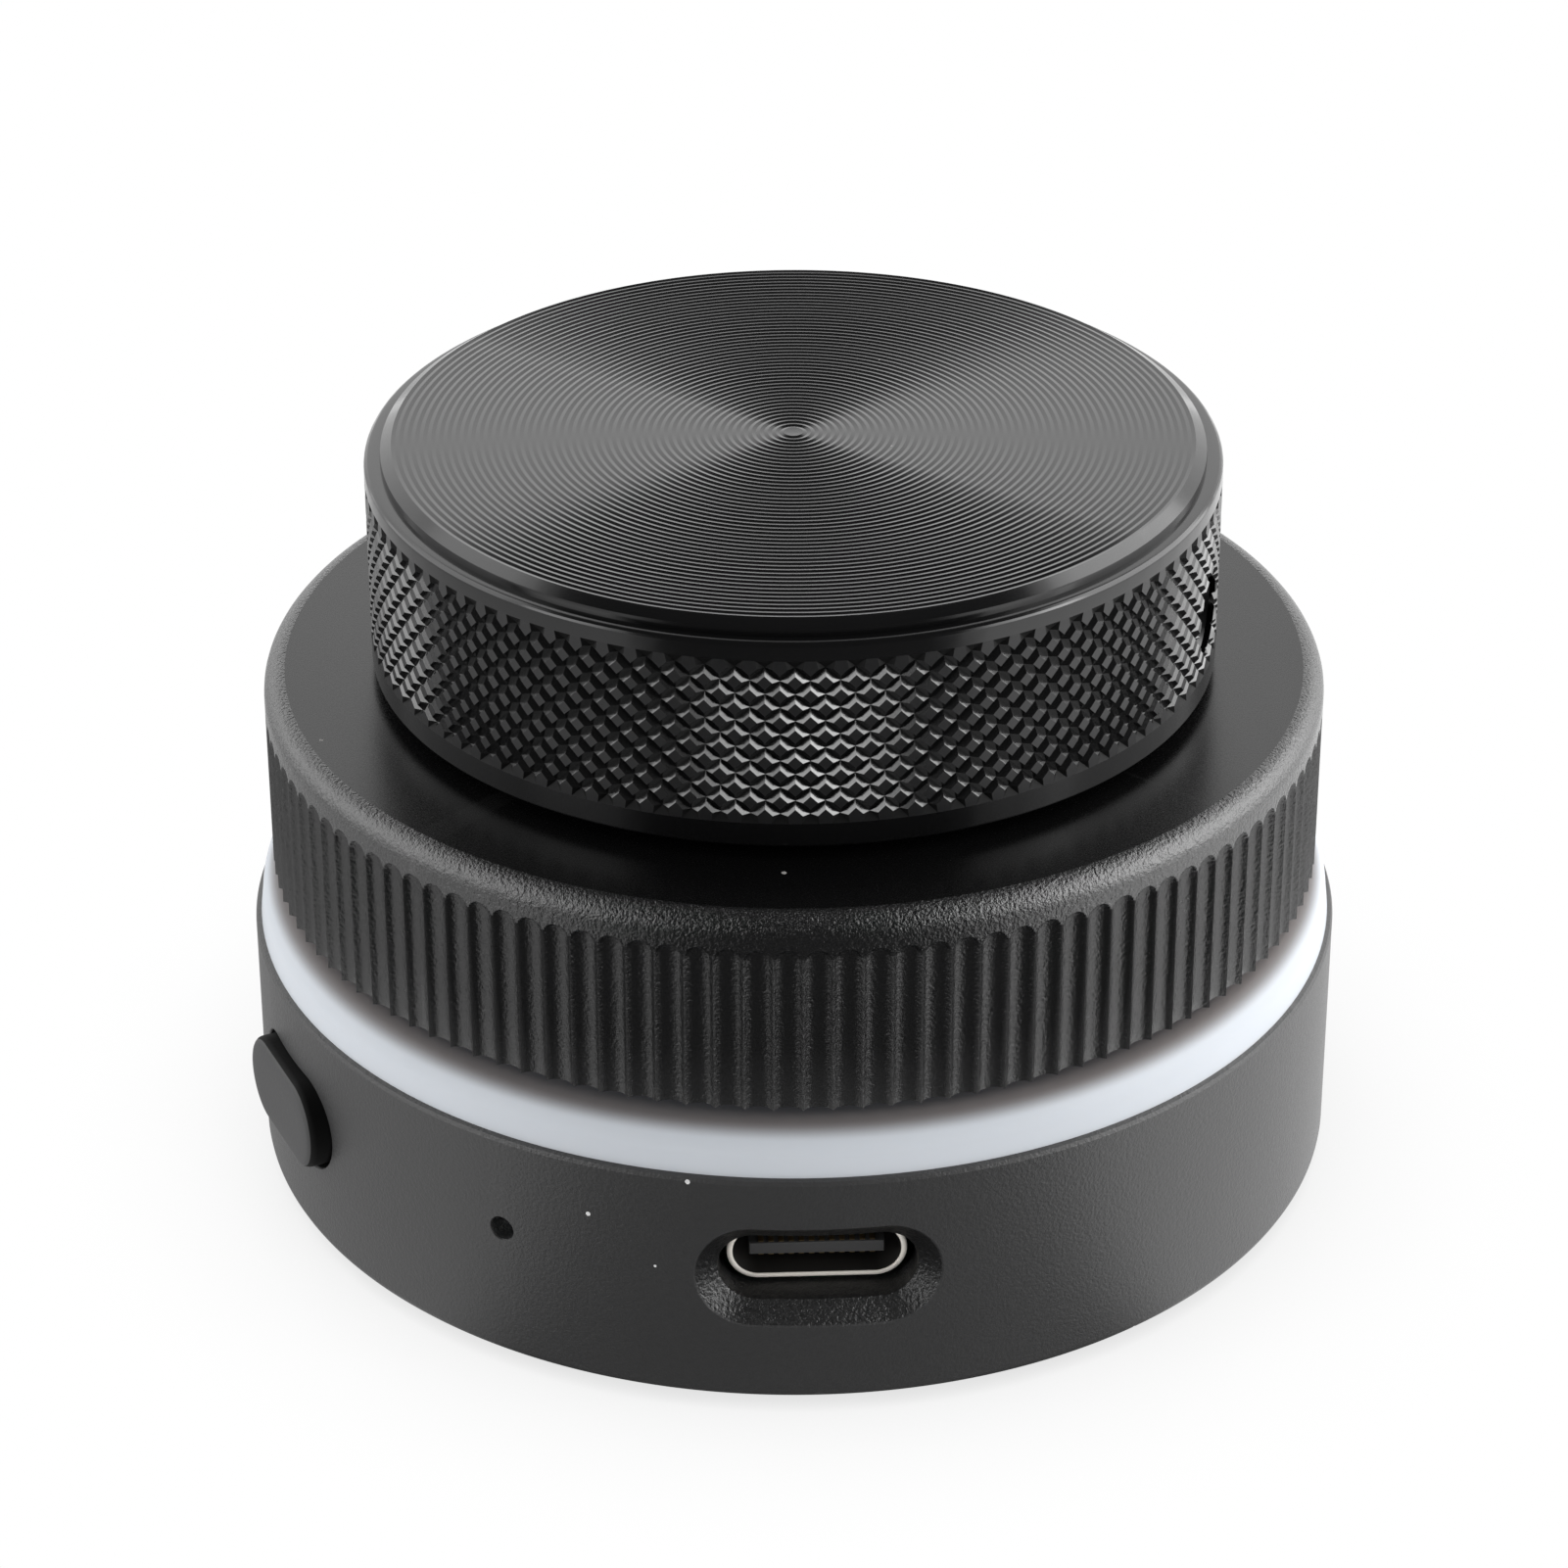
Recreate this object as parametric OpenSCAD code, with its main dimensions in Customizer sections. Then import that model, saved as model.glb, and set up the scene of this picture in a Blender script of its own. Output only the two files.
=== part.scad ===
// Desktop volume control: a knurled push knob and a fluted outer dial over a lit ring,
// on a round metal base with a USB-C socket. Millimetres, Z up, origin at the centre of
// the face it rests on. The front is -Y, where the socket is.

/* [Base] */
// Outside diameter of the metal base
base_d = 57; // [48:0.5:70]
// Height of the metal base, without the foot
base_h = 12.9; // [12:0.1:18]
// Wall thickness of the metal base
wall_t = 2.8; // [2:0.1:3.5]
// Bevel round the top edge
edge_bevel = 0.3; // [0.2:0.05:0.5]
// Radius round the bottom edge
bottom_round = 0.5; // [0.2:0.1:1]
// Thickness of the rubber foot
foot_h = 0.7; // [0.5:0.1:1.5]
// Thickness of the bottom cover
cover_t = 1.5; // [1.2:0.1:2]

/* [Light ring] */
// Height of the ring above the base
ring_rise = 2.7; // [2:0.1:4]
// Radius of the ring's rounded shoulder
ring_round = 1.7; // [1:0.1:1.9]
// Number of lights under the ring
light_count = 16; // [8:1:24]

/* [Outer dial] */
// Outside diameter of the dial
dial_d = 54.8; // [46:0.2:66]
// Height of the dial
dial_h = 10.7; // [9.5:0.1:16]
// Wall thickness of the dial, flutes included
dial_wall = 2.2; // [1.6:0.1:3]
// Thickness of the dial's top
dial_top_t = 1.75; // [1.2:0.05:2.5]
// Radius round the dial's top edge
dial_round = 1.1; // [0.6:0.1:1.6]
// Number of grip flutes
flute_count = 120; // [60:2:140]
// Depth of a flute
flute_depth = 0.4; // [0.2:0.05:0.6]

/* [Knob] */
// Outside diameter of the knob
knob_d = 43.5; // [36:0.5:54]
// Height of the knob
knob_h = 11.75; // [11:0.25:16]
// Diameter of the flat, turned face
face_d = 40.7; // [32:0.1:42]
// Thickness of the knob's rim
knob_wall = 3.2; // [2:0.1:5]
// Thickness of the knob's top
knob_top_t = 3; // [2:0.1:4]
// How far the knob travels when it is pressed
press_travel = 0.5; // [0.3:0.1:0.8]
// Side of the knob that the set screw is on, in degrees from the front
set_screw_angle = 73; // [0:1:359]

/* [Socket and pinhole] */
// Depth of the socket's centre below the base's top edge
port_drop = 5.7; // [5.2:0.05:6]
// Width of the opening's outer edge
port_w = 12.5; // [11:0.1:13]
// Height of the opening's outer edge
port_h = 5.65; // [5.5:0.05:6.5]
// Width of the bevel round the opening
port_bevel = 1; // [0.6:0.05:1]
// Diameter of the pinhole
pinhole_d = 1.3; // [0.8:0.1:2]
// Depth of the pinhole below the base's top edge
pinhole_drop = 5.4; // [5:0.1:6]
// Pinhole's direction, in degrees from the front
pinhole_angle = -33; // [-40:1:-25]

/* [Side button] */
// Width of the button's opening
button_w = 9.5; // [7:0.1:11]
// Height of the button's opening
button_h = 5.2; // [4:0.1:5.4]
// Depth of the button's centre below the base's top edge
button_drop = 6; // [5.7:0.1:6.3]
// How far the button stands out of the base
button_proud = 0.8; // [0.6:0.1:1.5]
// How far the button travels when it is pressed
button_travel = 0.4; // [0.2:0.05:0.5]
// Button's direction, in degrees from the front
button_angle = -68; // [-72:1:-64]

/* [Encoder] */
// Side of the encoder's square case
case_w = 12; // [11.8:0.1:13]
// Height of the encoder's case
case_h = 6.5; // [6.4:0.1:7]
// Diameter of the threaded bushing
bushing_d = 9; // [8.8:0.1:10]
// Length of the bushing above the case
bushing_h = 5.7; // [5:0.1:6.5]
// Diameter of the hollow shaft that carries the dial
outer_shaft_d = 6; // [5.6:0.1:6.2]
// Diameter of the shaft that carries the knob
inner_shaft_d = 4; // [3.6:0.1:4.2]

/* [Clearances] */
// Radial clearance of a shaft in its hole
shaft_gap = 0.05; // [0.02:0.01:0.1]
// Radial clearance of a screw or a pressed piece
fit_gap = 0.02; // [0.01:0.01:0.05]
// Clearance round the button in its opening
button_gap = 0.2; // [0.1:0.05:0.3]
// Gap between the ring's top and the dial
dial_gap = 0.65; // [0.4:0.05:1]
// Gap left under the knob when it is pressed
knob_gap = 0.2; // [0.1:0.05:0.5]

/* [Hidden] */
$fn = 96;
// Overlap of joined shapes, and reach of cutters beyond what they cut
EPS = 0.01;
CUT = 1;
// Thickness of plating, and clearance between pieces that only pass each other
THIN = 0.05;
LOOSE = 0.1;

// Sizes of the standard socket
USB_W = 8.94;
USB_H = 3.26;
USB_L = 7.3;
USB_WALL = 0.3;
USB_SET_BACK = 2.5;
TONGUE_W = 6.69;
TONGUE_T = 0.7;
TONGUE_L = 5.6;
TONGUE_SET_BACK = 0.2;
CONTACT_PITCH = 0.5;
CONTACT_W = 0.26;
CONTACT_L = 3.4;
CONTACT_SET_BACK = 0.5;
CONTACT_COUNT = 12;

// Levels of the base, from the foot up
FOOT_MARGIN = 1.4;
COVER_STEP = 0.8;
DECK_DROP = 1.4;
DECK_T = 1.3;
BOARD_T = 1.6;
BOARD_MARGIN = 0.3;
LED_BOARD_T = 0.8;
LED_BOARD_W = 10.5;
LED_BOARD_MARGIN = 0.2;
BEVEL_SET_BACK = 0.3;
WALL_REACH = 2;
base_r = base_d / 2;
base_z0 = foot_h;
base_z1 = base_z0 + base_h;
wall_in = base_r - wall_t;
cover_z1 = base_z0 + cover_t;
deck_z1 = base_z1 - DECK_DROP;
deck_z0 = deck_z1 - DECK_T;
port_z = base_z1 - port_drop;
usb_front = -base_r + USB_SET_BACK;
usb_back = usb_front + USB_L - USB_WALL;
button_z = base_z1 - button_drop;
board_z1 = port_z - USB_H / 2;
board_z0 = board_z1 - BOARD_T;
board_r = wall_in - BOARD_MARGIN;
led_board_ro = wall_in - LED_BOARD_MARGIN;
led_board_ri = led_board_ro - LED_BOARD_W;
led_board_z1 = deck_z1 + LED_BOARD_T;

// Light ring, with a channel over the lights between two legs
CHANNEL_W = 1.6;
CHANNEL_H = 1.4;
OUTER_LEG_T = 0.5;
INNER_LEG_T = 1;
LIGHT_SIZE = [1.6, 0.8, 0.6];
ring_r = base_r - edge_bevel;
ring_z1 = base_z1 + ring_rise;
ring_spigot_r = wall_in - LOOSE;
channel_ro = ring_spigot_r - OUTER_LEG_T;
channel_ri = channel_ro - CHANNEL_W;
channel_r = (channel_ro + channel_ri) / 2;
ring_in = channel_ri - INNER_LEG_T;

// Encoder, from the board up
CASE_FLOOR = 0.6;
CASE_ROOF = 0.7;
CASE_WALL = 0.8;
DOME_H = 0.6;
DOME_R = 2.2;
DISC_MARGIN = 0.25;
DISC_OVER_DOME = 0.6;
KNOB_DISC_T = 1;
DIAL_DISC_T = 1.6;
DISC_GAP = 0.3;
PLATE_T = 0.4;
SPRING_T = 0.15;
SPRING_ROOM = 0.6;
TURRET_ROOM = 1;
TURRET_WALL = 1.5;
TURRET_TOP_T = 1.6;
TURRET_GAP = 0.03;
WASHER_D = 13;
WASHER_T = 0.5;
NUT_T = 2;
NUT_ACROSS_FLATS = 11;
FLAT_SHARE = 0.75;
case_z0 = board_z1;
case_z1 = case_z0 + case_h;
case_roof_z0 = case_z1 - CASE_ROOF;
case_bore_r = case_w / 2 - CASE_WALL;
disc_r = case_bore_r - DISC_MARGIN;
dome_z0 = case_z0 + CASE_FLOOR;
dome_z1 = dome_z0 + DOME_H;
knob_disc_z0 = dome_z1 + DISC_OVER_DOME;
knob_disc_z1 = knob_disc_z0 + KNOB_DISC_T;
plate_z0 = knob_disc_z1 + DISC_GAP;
plate_z1 = plate_z0 + PLATE_T;
dial_disc_z0 = plate_z1 + DISC_GAP;
dial_disc_z1 = dial_disc_z0 + DIAL_DISC_T;
inner_shaft_r = inner_shaft_d / 2;
outer_shaft_r = outer_shaft_d / 2;
bushing_r = bushing_d / 2;
bushing_z1 = case_z1 + bushing_h;
turret_pocket_r = case_w / 2 * sqrt(2) + TURRET_ROOM;
turret_r = turret_pocket_r + TURRET_WALL;
turret_z0 = case_z1 + TURRET_GAP;
turret_z1 = turret_z0 + TURRET_TOP_T;
washer_z1 = turret_z1 + WASHER_T;
nut_r = NUT_ACROSS_FLATS / 2 / cos(30);

// Outer dial
HUB_WALL = 3;
HUB_OVER_BUSHING = 0.4;
SHAFT_BELOW_TOP = 1;
RIB_COUNT = 6;
RIB_T = 1.2;
RIB_H = 3;
FLUTE_BELOW_ROUND = 0.3;
FLUTE_SHARE = 0.3;
dial_r = dial_d / 2;
dial_z0 = ring_z1 + dial_gap;
dial_z1 = dial_z0 + dial_h;
dial_top_z0 = dial_z1 - dial_top_t;
dial_in = dial_r - dial_wall;
dial_hub_r = outer_shaft_r + HUB_WALL;
dial_hub_z0 = bushing_z1 + HUB_OVER_BUSHING;
outer_shaft_z1 = dial_z1 - SHAFT_BELOW_TOP;
outer_flat = outer_shaft_r * FLAT_SHARE;

// Knob
KNOB_HUB_R = 8;
HUB_UP = 0.55;
FLAT_UP = 1;
LIP_DROP = 0.37;
LIP_W = 0.55;
LEDGE_DROP = 0.3;
LEDGE_ROUND = [0.25, 0.1];
KNOB_FOOT_BEVEL = 0.2;
SET_SCREW_R = 2;
SET_SCREW_L = 5;
SET_SCREW_HOLE_R = 2.15;
SET_SCREW_UP = 4.25;
HEX_KEY = 2;
HEX_DEPTH = 2;
knob_r = knob_d / 2;
knob_z0 = dial_z1 + press_travel + knob_gap;
knob_z1 = knob_z0 + knob_h;
face_r = face_d / 2;
knob_hub_z0 = knob_z0 + HUB_UP;
knob_pocket_r = knob_r - knob_wall;
knob_pocket_z1 = knob_z1 - knob_top_t;
set_screw_z = knob_z0 + SET_SCREW_UP;
// The knob's shaft has a flat in its disc, also when it is pressed, and one in the knob
inner_shaft_z0 = dome_z1 + fit_gap;
lower_flat_z1 = knob_disc_z1 + press_travel + LOOSE;
upper_flat_z0 = knob_z0 + FLAT_UP;
inner_shaft_z1 = knob_pocket_z1;
inner_flat = inner_shaft_r * FLAT_SHARE;

// Side button, with a flange that rests against the round wall from inside
BUTTON_BEVEL = 0.35;
FLANGE_T = 0.8;
FLANGE_MARGIN = 0.25;
FLANGE_GAP = 0.15;
SWITCH_SIZE = [6, 3.3, 3.5];
SWITCH_GAP = 0.25;
PLUNGER_R = 0.9;
PLUNGER_IN = 0.5;
PLUNGER_ROOM = 0.2;
NOTCH_MARGIN = 1;
button_out = base_r + button_proud;
flange_half_w = button_w / 2 + FLANGE_MARGIN;
flange_out = sqrt(pow(wall_in, 2) - pow(flange_half_w, 2)) - FLANGE_GAP;
flange_in = flange_out - FLANGE_T;
switch_front = flange_in - button_travel - SWITCH_GAP;
switch_z = board_z1 + SWITCH_SIZE[2] / 2;
notch_y = switch_front - LOOSE;

// Screws
SCREW_R = 1;
COVER_HEAD_R = 1.9;
COVER_HEAD_H = 0.9;
BOARD_HEAD_R = 1.7;
BOARD_HEAD_H = 0.9;
HEAD_SINK = 0.1;
RECESS_SIZE = [0.4, 2.2, 0.5];
BOSS_R = 2.2;
SCREW_BITE = 3.4;
HOLE_BELOW_SCREW = 0.4;
COVER_SCREW_INSET = 4.4;
cover_screw_orbit = board_r - COVER_SCREW_INSET;
COVER_SCREW_ANGLES = [30, 150, 270];
BOARD_SCREW_ORBIT = 14;
BOARD_SCREW_ANGLES = [90, 210, 330];

// Board parts
LINK_SIZE = [6, 2.2];
LINK_INSET = 6;
LINK_GAP = 0.3;
link_orbit = led_board_ro - LINK_INSET;
CHIP_SIZE = [5, 5, 0.9];
CHIP_ORBIT = 13;
CHIP_ANGLE = 120;
CAPACITOR_SIZE = [1.6, 0.8, 0.8];
CAPACITOR_ANGLES = [0, 20, 50, 165, 195, 240, 260];
CAPACITOR_ORBIT = 11.3;
STATUS_LIGHT_SIZE = [1.8, 1, 2.6];
STATUS_LIGHT_INSET = 0.2;
TERMINAL_R = 0.35;
TERMINAL_STEP = 2.5;
TERMINAL_SIDE = 4.6;
TERMINAL_BELOW = 0.8;

// ---------- Helpers ----------

// Turns children from the front (-Y) to a direction; positive goes towards +X
module facing(angle) {
    rotate([0, 0, angle]) children();
}

// Tube between two levels
module tube(r_out, r_in, z0, z1) {
    translate([0, 0, z0]) difference() {
        cylinder(r = r_out, h = z1 - z0);
        translate([0, 0, -CUT]) cylinder(r = r_in, h = z1 - z0 + 2 * CUT);
    }
}

// Rod between two levels
module rod(r, z0, z1) {
    translate([0, 0, z0]) cylinder(r = r, h = z1 - z0);
}

// Rod with one flat side, towards -Y
module d_rod(r, flat, z0, z1) {
    intersection() {
        rod(r, z0, z1);
        translate([-r - CUT, -flat, z0 - CUT]) cube([2 * (r + CUT), r + flat + CUT, z1 - z0 + 2 * CUT]);
    }
}

// Box centred on X, from y0 to y1 and z0 to z1
module slab(width, y0, y1, z0, z1) {
    translate([-width / 2, y0, z0]) cube([width, y1 - y0, z1 - z0]);
}

// Bar along Y with round ends to its section, from y0 to y1
module stadium_bar(width, height, y0, y1) {
    translate([0, y1, 0]) rotate([90, 0, 0]) linear_extrude(y1 - y0) {
        square([width - height, height], center = true);
        for (side = [-1, 1]) translate([side * (width - height) / 2, 0]) circle(d = height);
    }
}

// Flare of a stadium opening: it narrows by its depth from y0 inwards
module stadium_flare(width, height, depth, y0) {
    half = (width - height) / 2;
    r = height / 2;
    for (side = [-1, 1]) translate([side * half, y0, 0])
        rotate([-90, 0, 0]) cylinder(r1 = r, r2 = r - depth, h = depth);
    translate([-half, y0, 0]) rotate([90, 0, 90]) linear_extrude(2 * half)
        polygon([[0, -r], [depth, -r + depth], [depth, r - depth], [0, r]]);
}

// Section between two radii, with its top outer corner rounded
module rounded_top_section(r_in, r_out, z0, z1, round_r) {
    translate([r_in, z0]) square([r_out - r_in - round_r, z1 - z0]);
    translate([r_in, z0]) square([r_out - r_in, z1 - z0 - round_r]);
    translate([r_out - round_r, z1 - round_r]) intersection() {
        circle(r = round_r);
        square(round_r + CUT);
    }
}

// Section with its bottom outer corner rounded and its top outer corner bevelled
module base_wall_section() {
    translate([wall_in, base_z0]) square([wall_t - bottom_round, bottom_round + EPS]);
    translate([base_r - bottom_round, base_z0 + bottom_round]) circle(r = bottom_round);
    polygon([
        [wall_in, base_z0 + bottom_round], [base_r, base_z0 + bottom_round],
        [base_r, base_z1 - edge_bevel], [ring_r, base_z1], [wall_in, base_z1]
    ]);
}

// ---------- Base ----------

module base_housing() {
    screw_hole_z1 = board_z1 + SCREW_BITE + HOLE_BELOW_SCREW;
    color("#4a494b") difference() {
        union() {
            rotate_extrude() base_wall_section();
            rod(wall_in + EPS, deck_z0, deck_z1);
            rod(turret_r, deck_z0, turret_z1);
            for (a = COVER_SCREW_ANGLES) facing(a)
                translate([0, -cover_screw_orbit, 0]) rod(BOSS_R, board_z1, deck_z0 + EPS);
            for (a = BOARD_SCREW_ANGLES) facing(a)
                translate([0, -BOARD_SCREW_ORBIT, 0]) rod(BOSS_R, board_z1, deck_z0 + EPS);
        }
        rod(turret_pocket_r, deck_z0 - CUT, turret_z0);
        rod(bushing_r + shaft_gap, turret_z0 - CUT, turret_z1 + CUT);
        rod(wall_in + COVER_STEP, base_z0 - CUT, cover_z1);
        board_screw_rods(SCREW_R + fit_gap, board_z1 - CUT, screw_hole_z1);
        cover_screw_rods(SCREW_R + fit_gap, board_z1 - CUT, screw_hole_z1);
        link_block(LINK_GAP, deck_z0 - CUT, deck_z1 + CUT);
        port_opening();
        facing(pinhole_angle) translate([0, -base_r - CUT, base_z1 - pinhole_drop]) rotate([-90, 0, 0])
            cylinder(d = pinhole_d, h = wall_t + 2 * CUT);
        facing(button_angle) translate([0, 0, button_z])
            stadium_bar(button_w, button_h, -base_r - CUT, -wall_in + WALL_REACH);
    }
}

// Opening for the socket, with its wide bevel cut a little below the round wall
module port_opening() {
    bevel_y = -base_r + BEVEL_SET_BACK;
    translate([0, 0, port_z]) {
        stadium_bar(port_w, port_h, -base_r - CUT, bevel_y + EPS);
        stadium_flare(port_w, port_h, port_bevel, bevel_y);
        stadium_bar(port_w - 2 * port_bevel, port_h - 2 * port_bevel, bevel_y,
            -wall_in + WALL_REACH);
    }
}

// Rods at the places of the cover's screws
module cover_screw_rods(r, z0, z1) {
    for (a = COVER_SCREW_ANGLES) facing(a) translate([0, -cover_screw_orbit, 0]) rod(r, z0, z1);
}

// Rods at the places of the board's screws
module board_screw_rods(r, z0, z1) {
    for (a = BOARD_SCREW_ANGLES) facing(a) translate([0, -BOARD_SCREW_ORBIT, 0]) rod(r, z0, z1);
}

module bottom_cover() {
    color("#2b2b2d") difference() {
        union() {
            rod(wall_in + COVER_STEP - LOOSE, base_z0, cover_z1);
            cover_screw_rods(BOSS_R, cover_z1 - EPS, board_z0);
        }
        cover_screw_rods(SCREW_R + LOOSE, base_z0 - CUT, board_z0 + CUT);
        cover_screw_rods(COVER_HEAD_R + LOOSE, base_z0 - CUT, base_z0 + HEAD_SINK + COVER_HEAD_H);
    }
}

module cover_screws() {
    head_z0 = base_z0 + HEAD_SINK;
    color("silver") difference() {
        union() {
            cover_screw_rods(COVER_HEAD_R, head_z0, head_z0 + COVER_HEAD_H);
            cover_screw_rods(SCREW_R, head_z0, board_z1 + SCREW_BITE);
        }
        for (a = COVER_SCREW_ANGLES) facing(a)
            translate([0, -cover_screw_orbit, 0]) cross_recess(head_z0);
    }
}

// Crossed slots for a screwdriver, cut upwards from a level
module cross_recess(z) {
    for (turn = [0, 90]) rotate([0, 0, turn])
        slab(RECESS_SIZE[0], -RECESS_SIZE[1] / 2, RECESS_SIZE[1] / 2, z - CUT, z + RECESS_SIZE[2]);
}

module rubber_foot() {
    color("#1a1a1b") rod(base_r - FOOT_MARGIN, 0, base_z0);
}

// ---------- Boards ----------

module main_board() {
    color("#16553a") difference() {
        rod(board_r, board_z0, board_z1);
        cover_screw_rods(SCREW_R + LOOSE, board_z0 - CUT, board_z1 + CUT);
        board_screw_rods(SCREW_R + LOOSE, board_z0 - CUT, board_z1 + CUT);
        facing(button_angle) slab(button_w + 2 * NOTCH_MARGIN, -board_r - CUT, -notch_y,
            board_z0 - CUT, board_z1 + CUT);
        terminals(TERMINAL_R + LOOSE, board_z0 - CUT, board_z1 + CUT);
    }
}

module board_screws() {
    color("silver") difference() {
        union() {
            board_screw_rods(BOARD_HEAD_R, board_z0 - BOARD_HEAD_H, board_z0);
            board_screw_rods(SCREW_R, board_z0 - EPS, board_z1 + SCREW_BITE);
        }
        for (a = BOARD_SCREW_ANGLES) facing(a)
            translate([0, -BOARD_SCREW_ORBIT, 0]) cross_recess(board_z0 - BOARD_HEAD_H);
    }
}

module control_chip() {
    color("#222222") facing(CHIP_ANGLE)
        slab(CHIP_SIZE[0], -CHIP_ORBIT - CHIP_SIZE[1] / 2, -CHIP_ORBIT + CHIP_SIZE[1] / 2,
            board_z1, board_z1 + CHIP_SIZE[2]);
}

module board_capacitors() {
    color("#b49a6a") for (a = CAPACITOR_ANGLES) facing(a)
        slab(CAPACITOR_SIZE[0], -CAPACITOR_ORBIT - CAPACITOR_SIZE[1] / 2,
            -CAPACITOR_ORBIT + CAPACITOR_SIZE[1] / 2, board_z1, board_z1 + CAPACITOR_SIZE[2]);
}

// Block at the header's place, wider all round by a gap
module link_block(gap, z0, z1) {
    half_w = LINK_SIZE[1] / 2 + gap;
    facing(180) slab(LINK_SIZE[0] + 2 * gap, -link_orbit - half_w, -link_orbit + half_w, z0, z1);
}

// Header that joins the two boards through the deck
module board_link() {
    color("#202020") link_block(0, board_z1, deck_z1);
}

module status_light() {
    front = -board_r + STATUS_LIGHT_INSET;
    color("#d8d8c8") facing(pinhole_angle)
        slab(STATUS_LIGHT_SIZE[0], front, front + STATUS_LIGHT_SIZE[1],
            board_z1, board_z1 + STATUS_LIGHT_SIZE[2]);
}

// ---------- USB-C socket ----------

module usb_shell() {
    color("#c9c6bf") translate([0, 0, port_z]) difference() {
        stadium_bar(USB_W, USB_H, usb_front, usb_front + USB_L);
        stadium_bar(USB_W - 2 * USB_WALL, USB_H - 2 * USB_WALL, usb_front - CUT, usb_back);
    }
}

module usb_tongue() {
    tongue_y0 = usb_front + TONGUE_SET_BACK;
    block_y0 = tongue_y0 + TONGUE_L;
    color("#111111") translate([0, 0, port_z]) {
        slab(TONGUE_W, tongue_y0, block_y0 + EPS, -TONGUE_T / 2, TONGUE_T / 2);
        stadium_bar(USB_W - 2 * USB_WALL - THIN, USB_H - 2 * USB_WALL - THIN,
            block_y0, usb_back);
    }
}

module usb_contacts() {
    y0 = usb_front + TONGUE_SET_BACK + CONTACT_SET_BACK;
    color("gold") translate([0, 0, port_z])
        for (side = [-1, 1], i = [0 : CONTACT_COUNT - 1])
            translate([(i - (CONTACT_COUNT - 1) / 2) * CONTACT_PITCH, 0, 0])
                slab(CONTACT_W, y0, y0 + CONTACT_L,
                    side > 0 ? TONGUE_T / 2 : -TONGUE_T / 2 - THIN,
                    side > 0 ? TONGUE_T / 2 + THIN : -TONGUE_T / 2);
}

// ---------- Side button ----------

module side_button() {
    cap_w = button_w - 2 * button_gap;
    cap_h = button_h - 2 * button_gap;
    color("#333234") facing(button_angle) {
        translate([0, 0, button_z]) {
            stadium_bar(cap_w, cap_h, -button_out + BUTTON_BEVEL, -flange_out + EPS);
            button_face(cap_w, cap_h);
            stadium_bar(2 * flange_half_w, button_h + 2 * FLANGE_MARGIN,
                -flange_out, -flange_in);
        }
    }
}

// Bevelled outer face of the button
module button_face(cap_w, cap_h) {
    mirror([0, 1, 0]) stadium_flare(cap_w, cap_h, BUTTON_BEVEL, button_out - BUTTON_BEVEL - EPS);
}

module switch_body() {
    recess = PLUNGER_IN + button_travel + PLUNGER_ROOM;
    color("#3a3a3c") facing(button_angle) difference() {
        slab(SWITCH_SIZE[0], -switch_front, -switch_front + SWITCH_SIZE[1],
            board_z1, board_z1 + SWITCH_SIZE[2]);
        translate([0, -switch_front - CUT, switch_z])
            rotate([-90, 0, 0]) cylinder(r = PLUNGER_R + LOOSE, h = CUT + recess);
    }
}

// Actuator of the small switch: it moves with the button that pushes it
module switch_plunger() {
    reach = flange_in - switch_front + PLUNGER_IN;
    color("#8a3b2e") facing(button_angle) translate([0, -flange_in, switch_z])
        rotate([-90, 0, 0]) cylinder(r = PLUNGER_R, h = reach);
}

// ---------- Light ring ----------

module light_ring() {
    color("#e3e8f0") difference() {
        rotate_extrude() union() {
            rounded_top_section(ring_in, ring_r, base_z1, ring_z1, ring_round);
            translate([ring_in, led_board_z1])
                square([ring_spigot_r - ring_in, base_z1 - led_board_z1 + EPS]);
        }
        tube(channel_ro, channel_ri, led_board_z1 - CUT, led_board_z1 + CHANNEL_H);
    }
}

module led_board() {
    color("#1d5f42") tube(led_board_ro, led_board_ri, deck_z1, led_board_z1);
}

module ring_lights() {
    color("#f4f1e0") for (i = [0 : light_count - 1]) facing(i * 360 / light_count)
        slab(LIGHT_SIZE[0], -channel_r - LIGHT_SIZE[1] / 2, -channel_r + LIGHT_SIZE[1] / 2,
            led_board_z1, led_board_z1 + LIGHT_SIZE[2]);
}

// ---------- Encoder ----------

module encoder_case() {
    color("#6f7378") difference() {
        translate([-case_w / 2, -case_w / 2, case_z0]) cube([case_w, case_w, case_h]);
        rod(case_bore_r, dome_z0, case_roof_z0);
        rod(outer_shaft_r + shaft_gap, case_roof_z0 - CUT, case_z1 + CUT);
    }
}

module terminals(r, z0, z1) {
    for (side = [-1, 1], i = [-1, 0, 1])
        translate([side * TERMINAL_SIDE, i * TERMINAL_STEP, 0]) rod(r, z0, z1);
}

module encoder_terminals() {
    color("silver") terminals(TERMINAL_R, board_z0 - TERMINAL_BELOW, case_z0);
}

// Snap dome under the knob's shaft: it flattens when the knob is pressed
module push_dome() {
    color("#c8c8c8") translate([0, 0, dome_z0])
        cylinder(r1 = DOME_R, r2 = DOME_R / 2, h = DOME_H);
}

module knob_disc() {
    color("#d9d4c4") difference() {
        rod(disc_r, knob_disc_z0, knob_disc_z1);
        facing(set_screw_angle) d_rod(inner_shaft_r + shaft_gap, inner_flat + shaft_gap,
            knob_disc_z0 - CUT, knob_disc_z1 + CUT);
    }
}

// Fixed plate between the two discs, with the contacts of both
module contact_plate() {
    color("#b8894a") tube(case_bore_r - fit_gap, inner_shaft_r + 2 * LOOSE, plate_z0, plate_z1);
}

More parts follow.
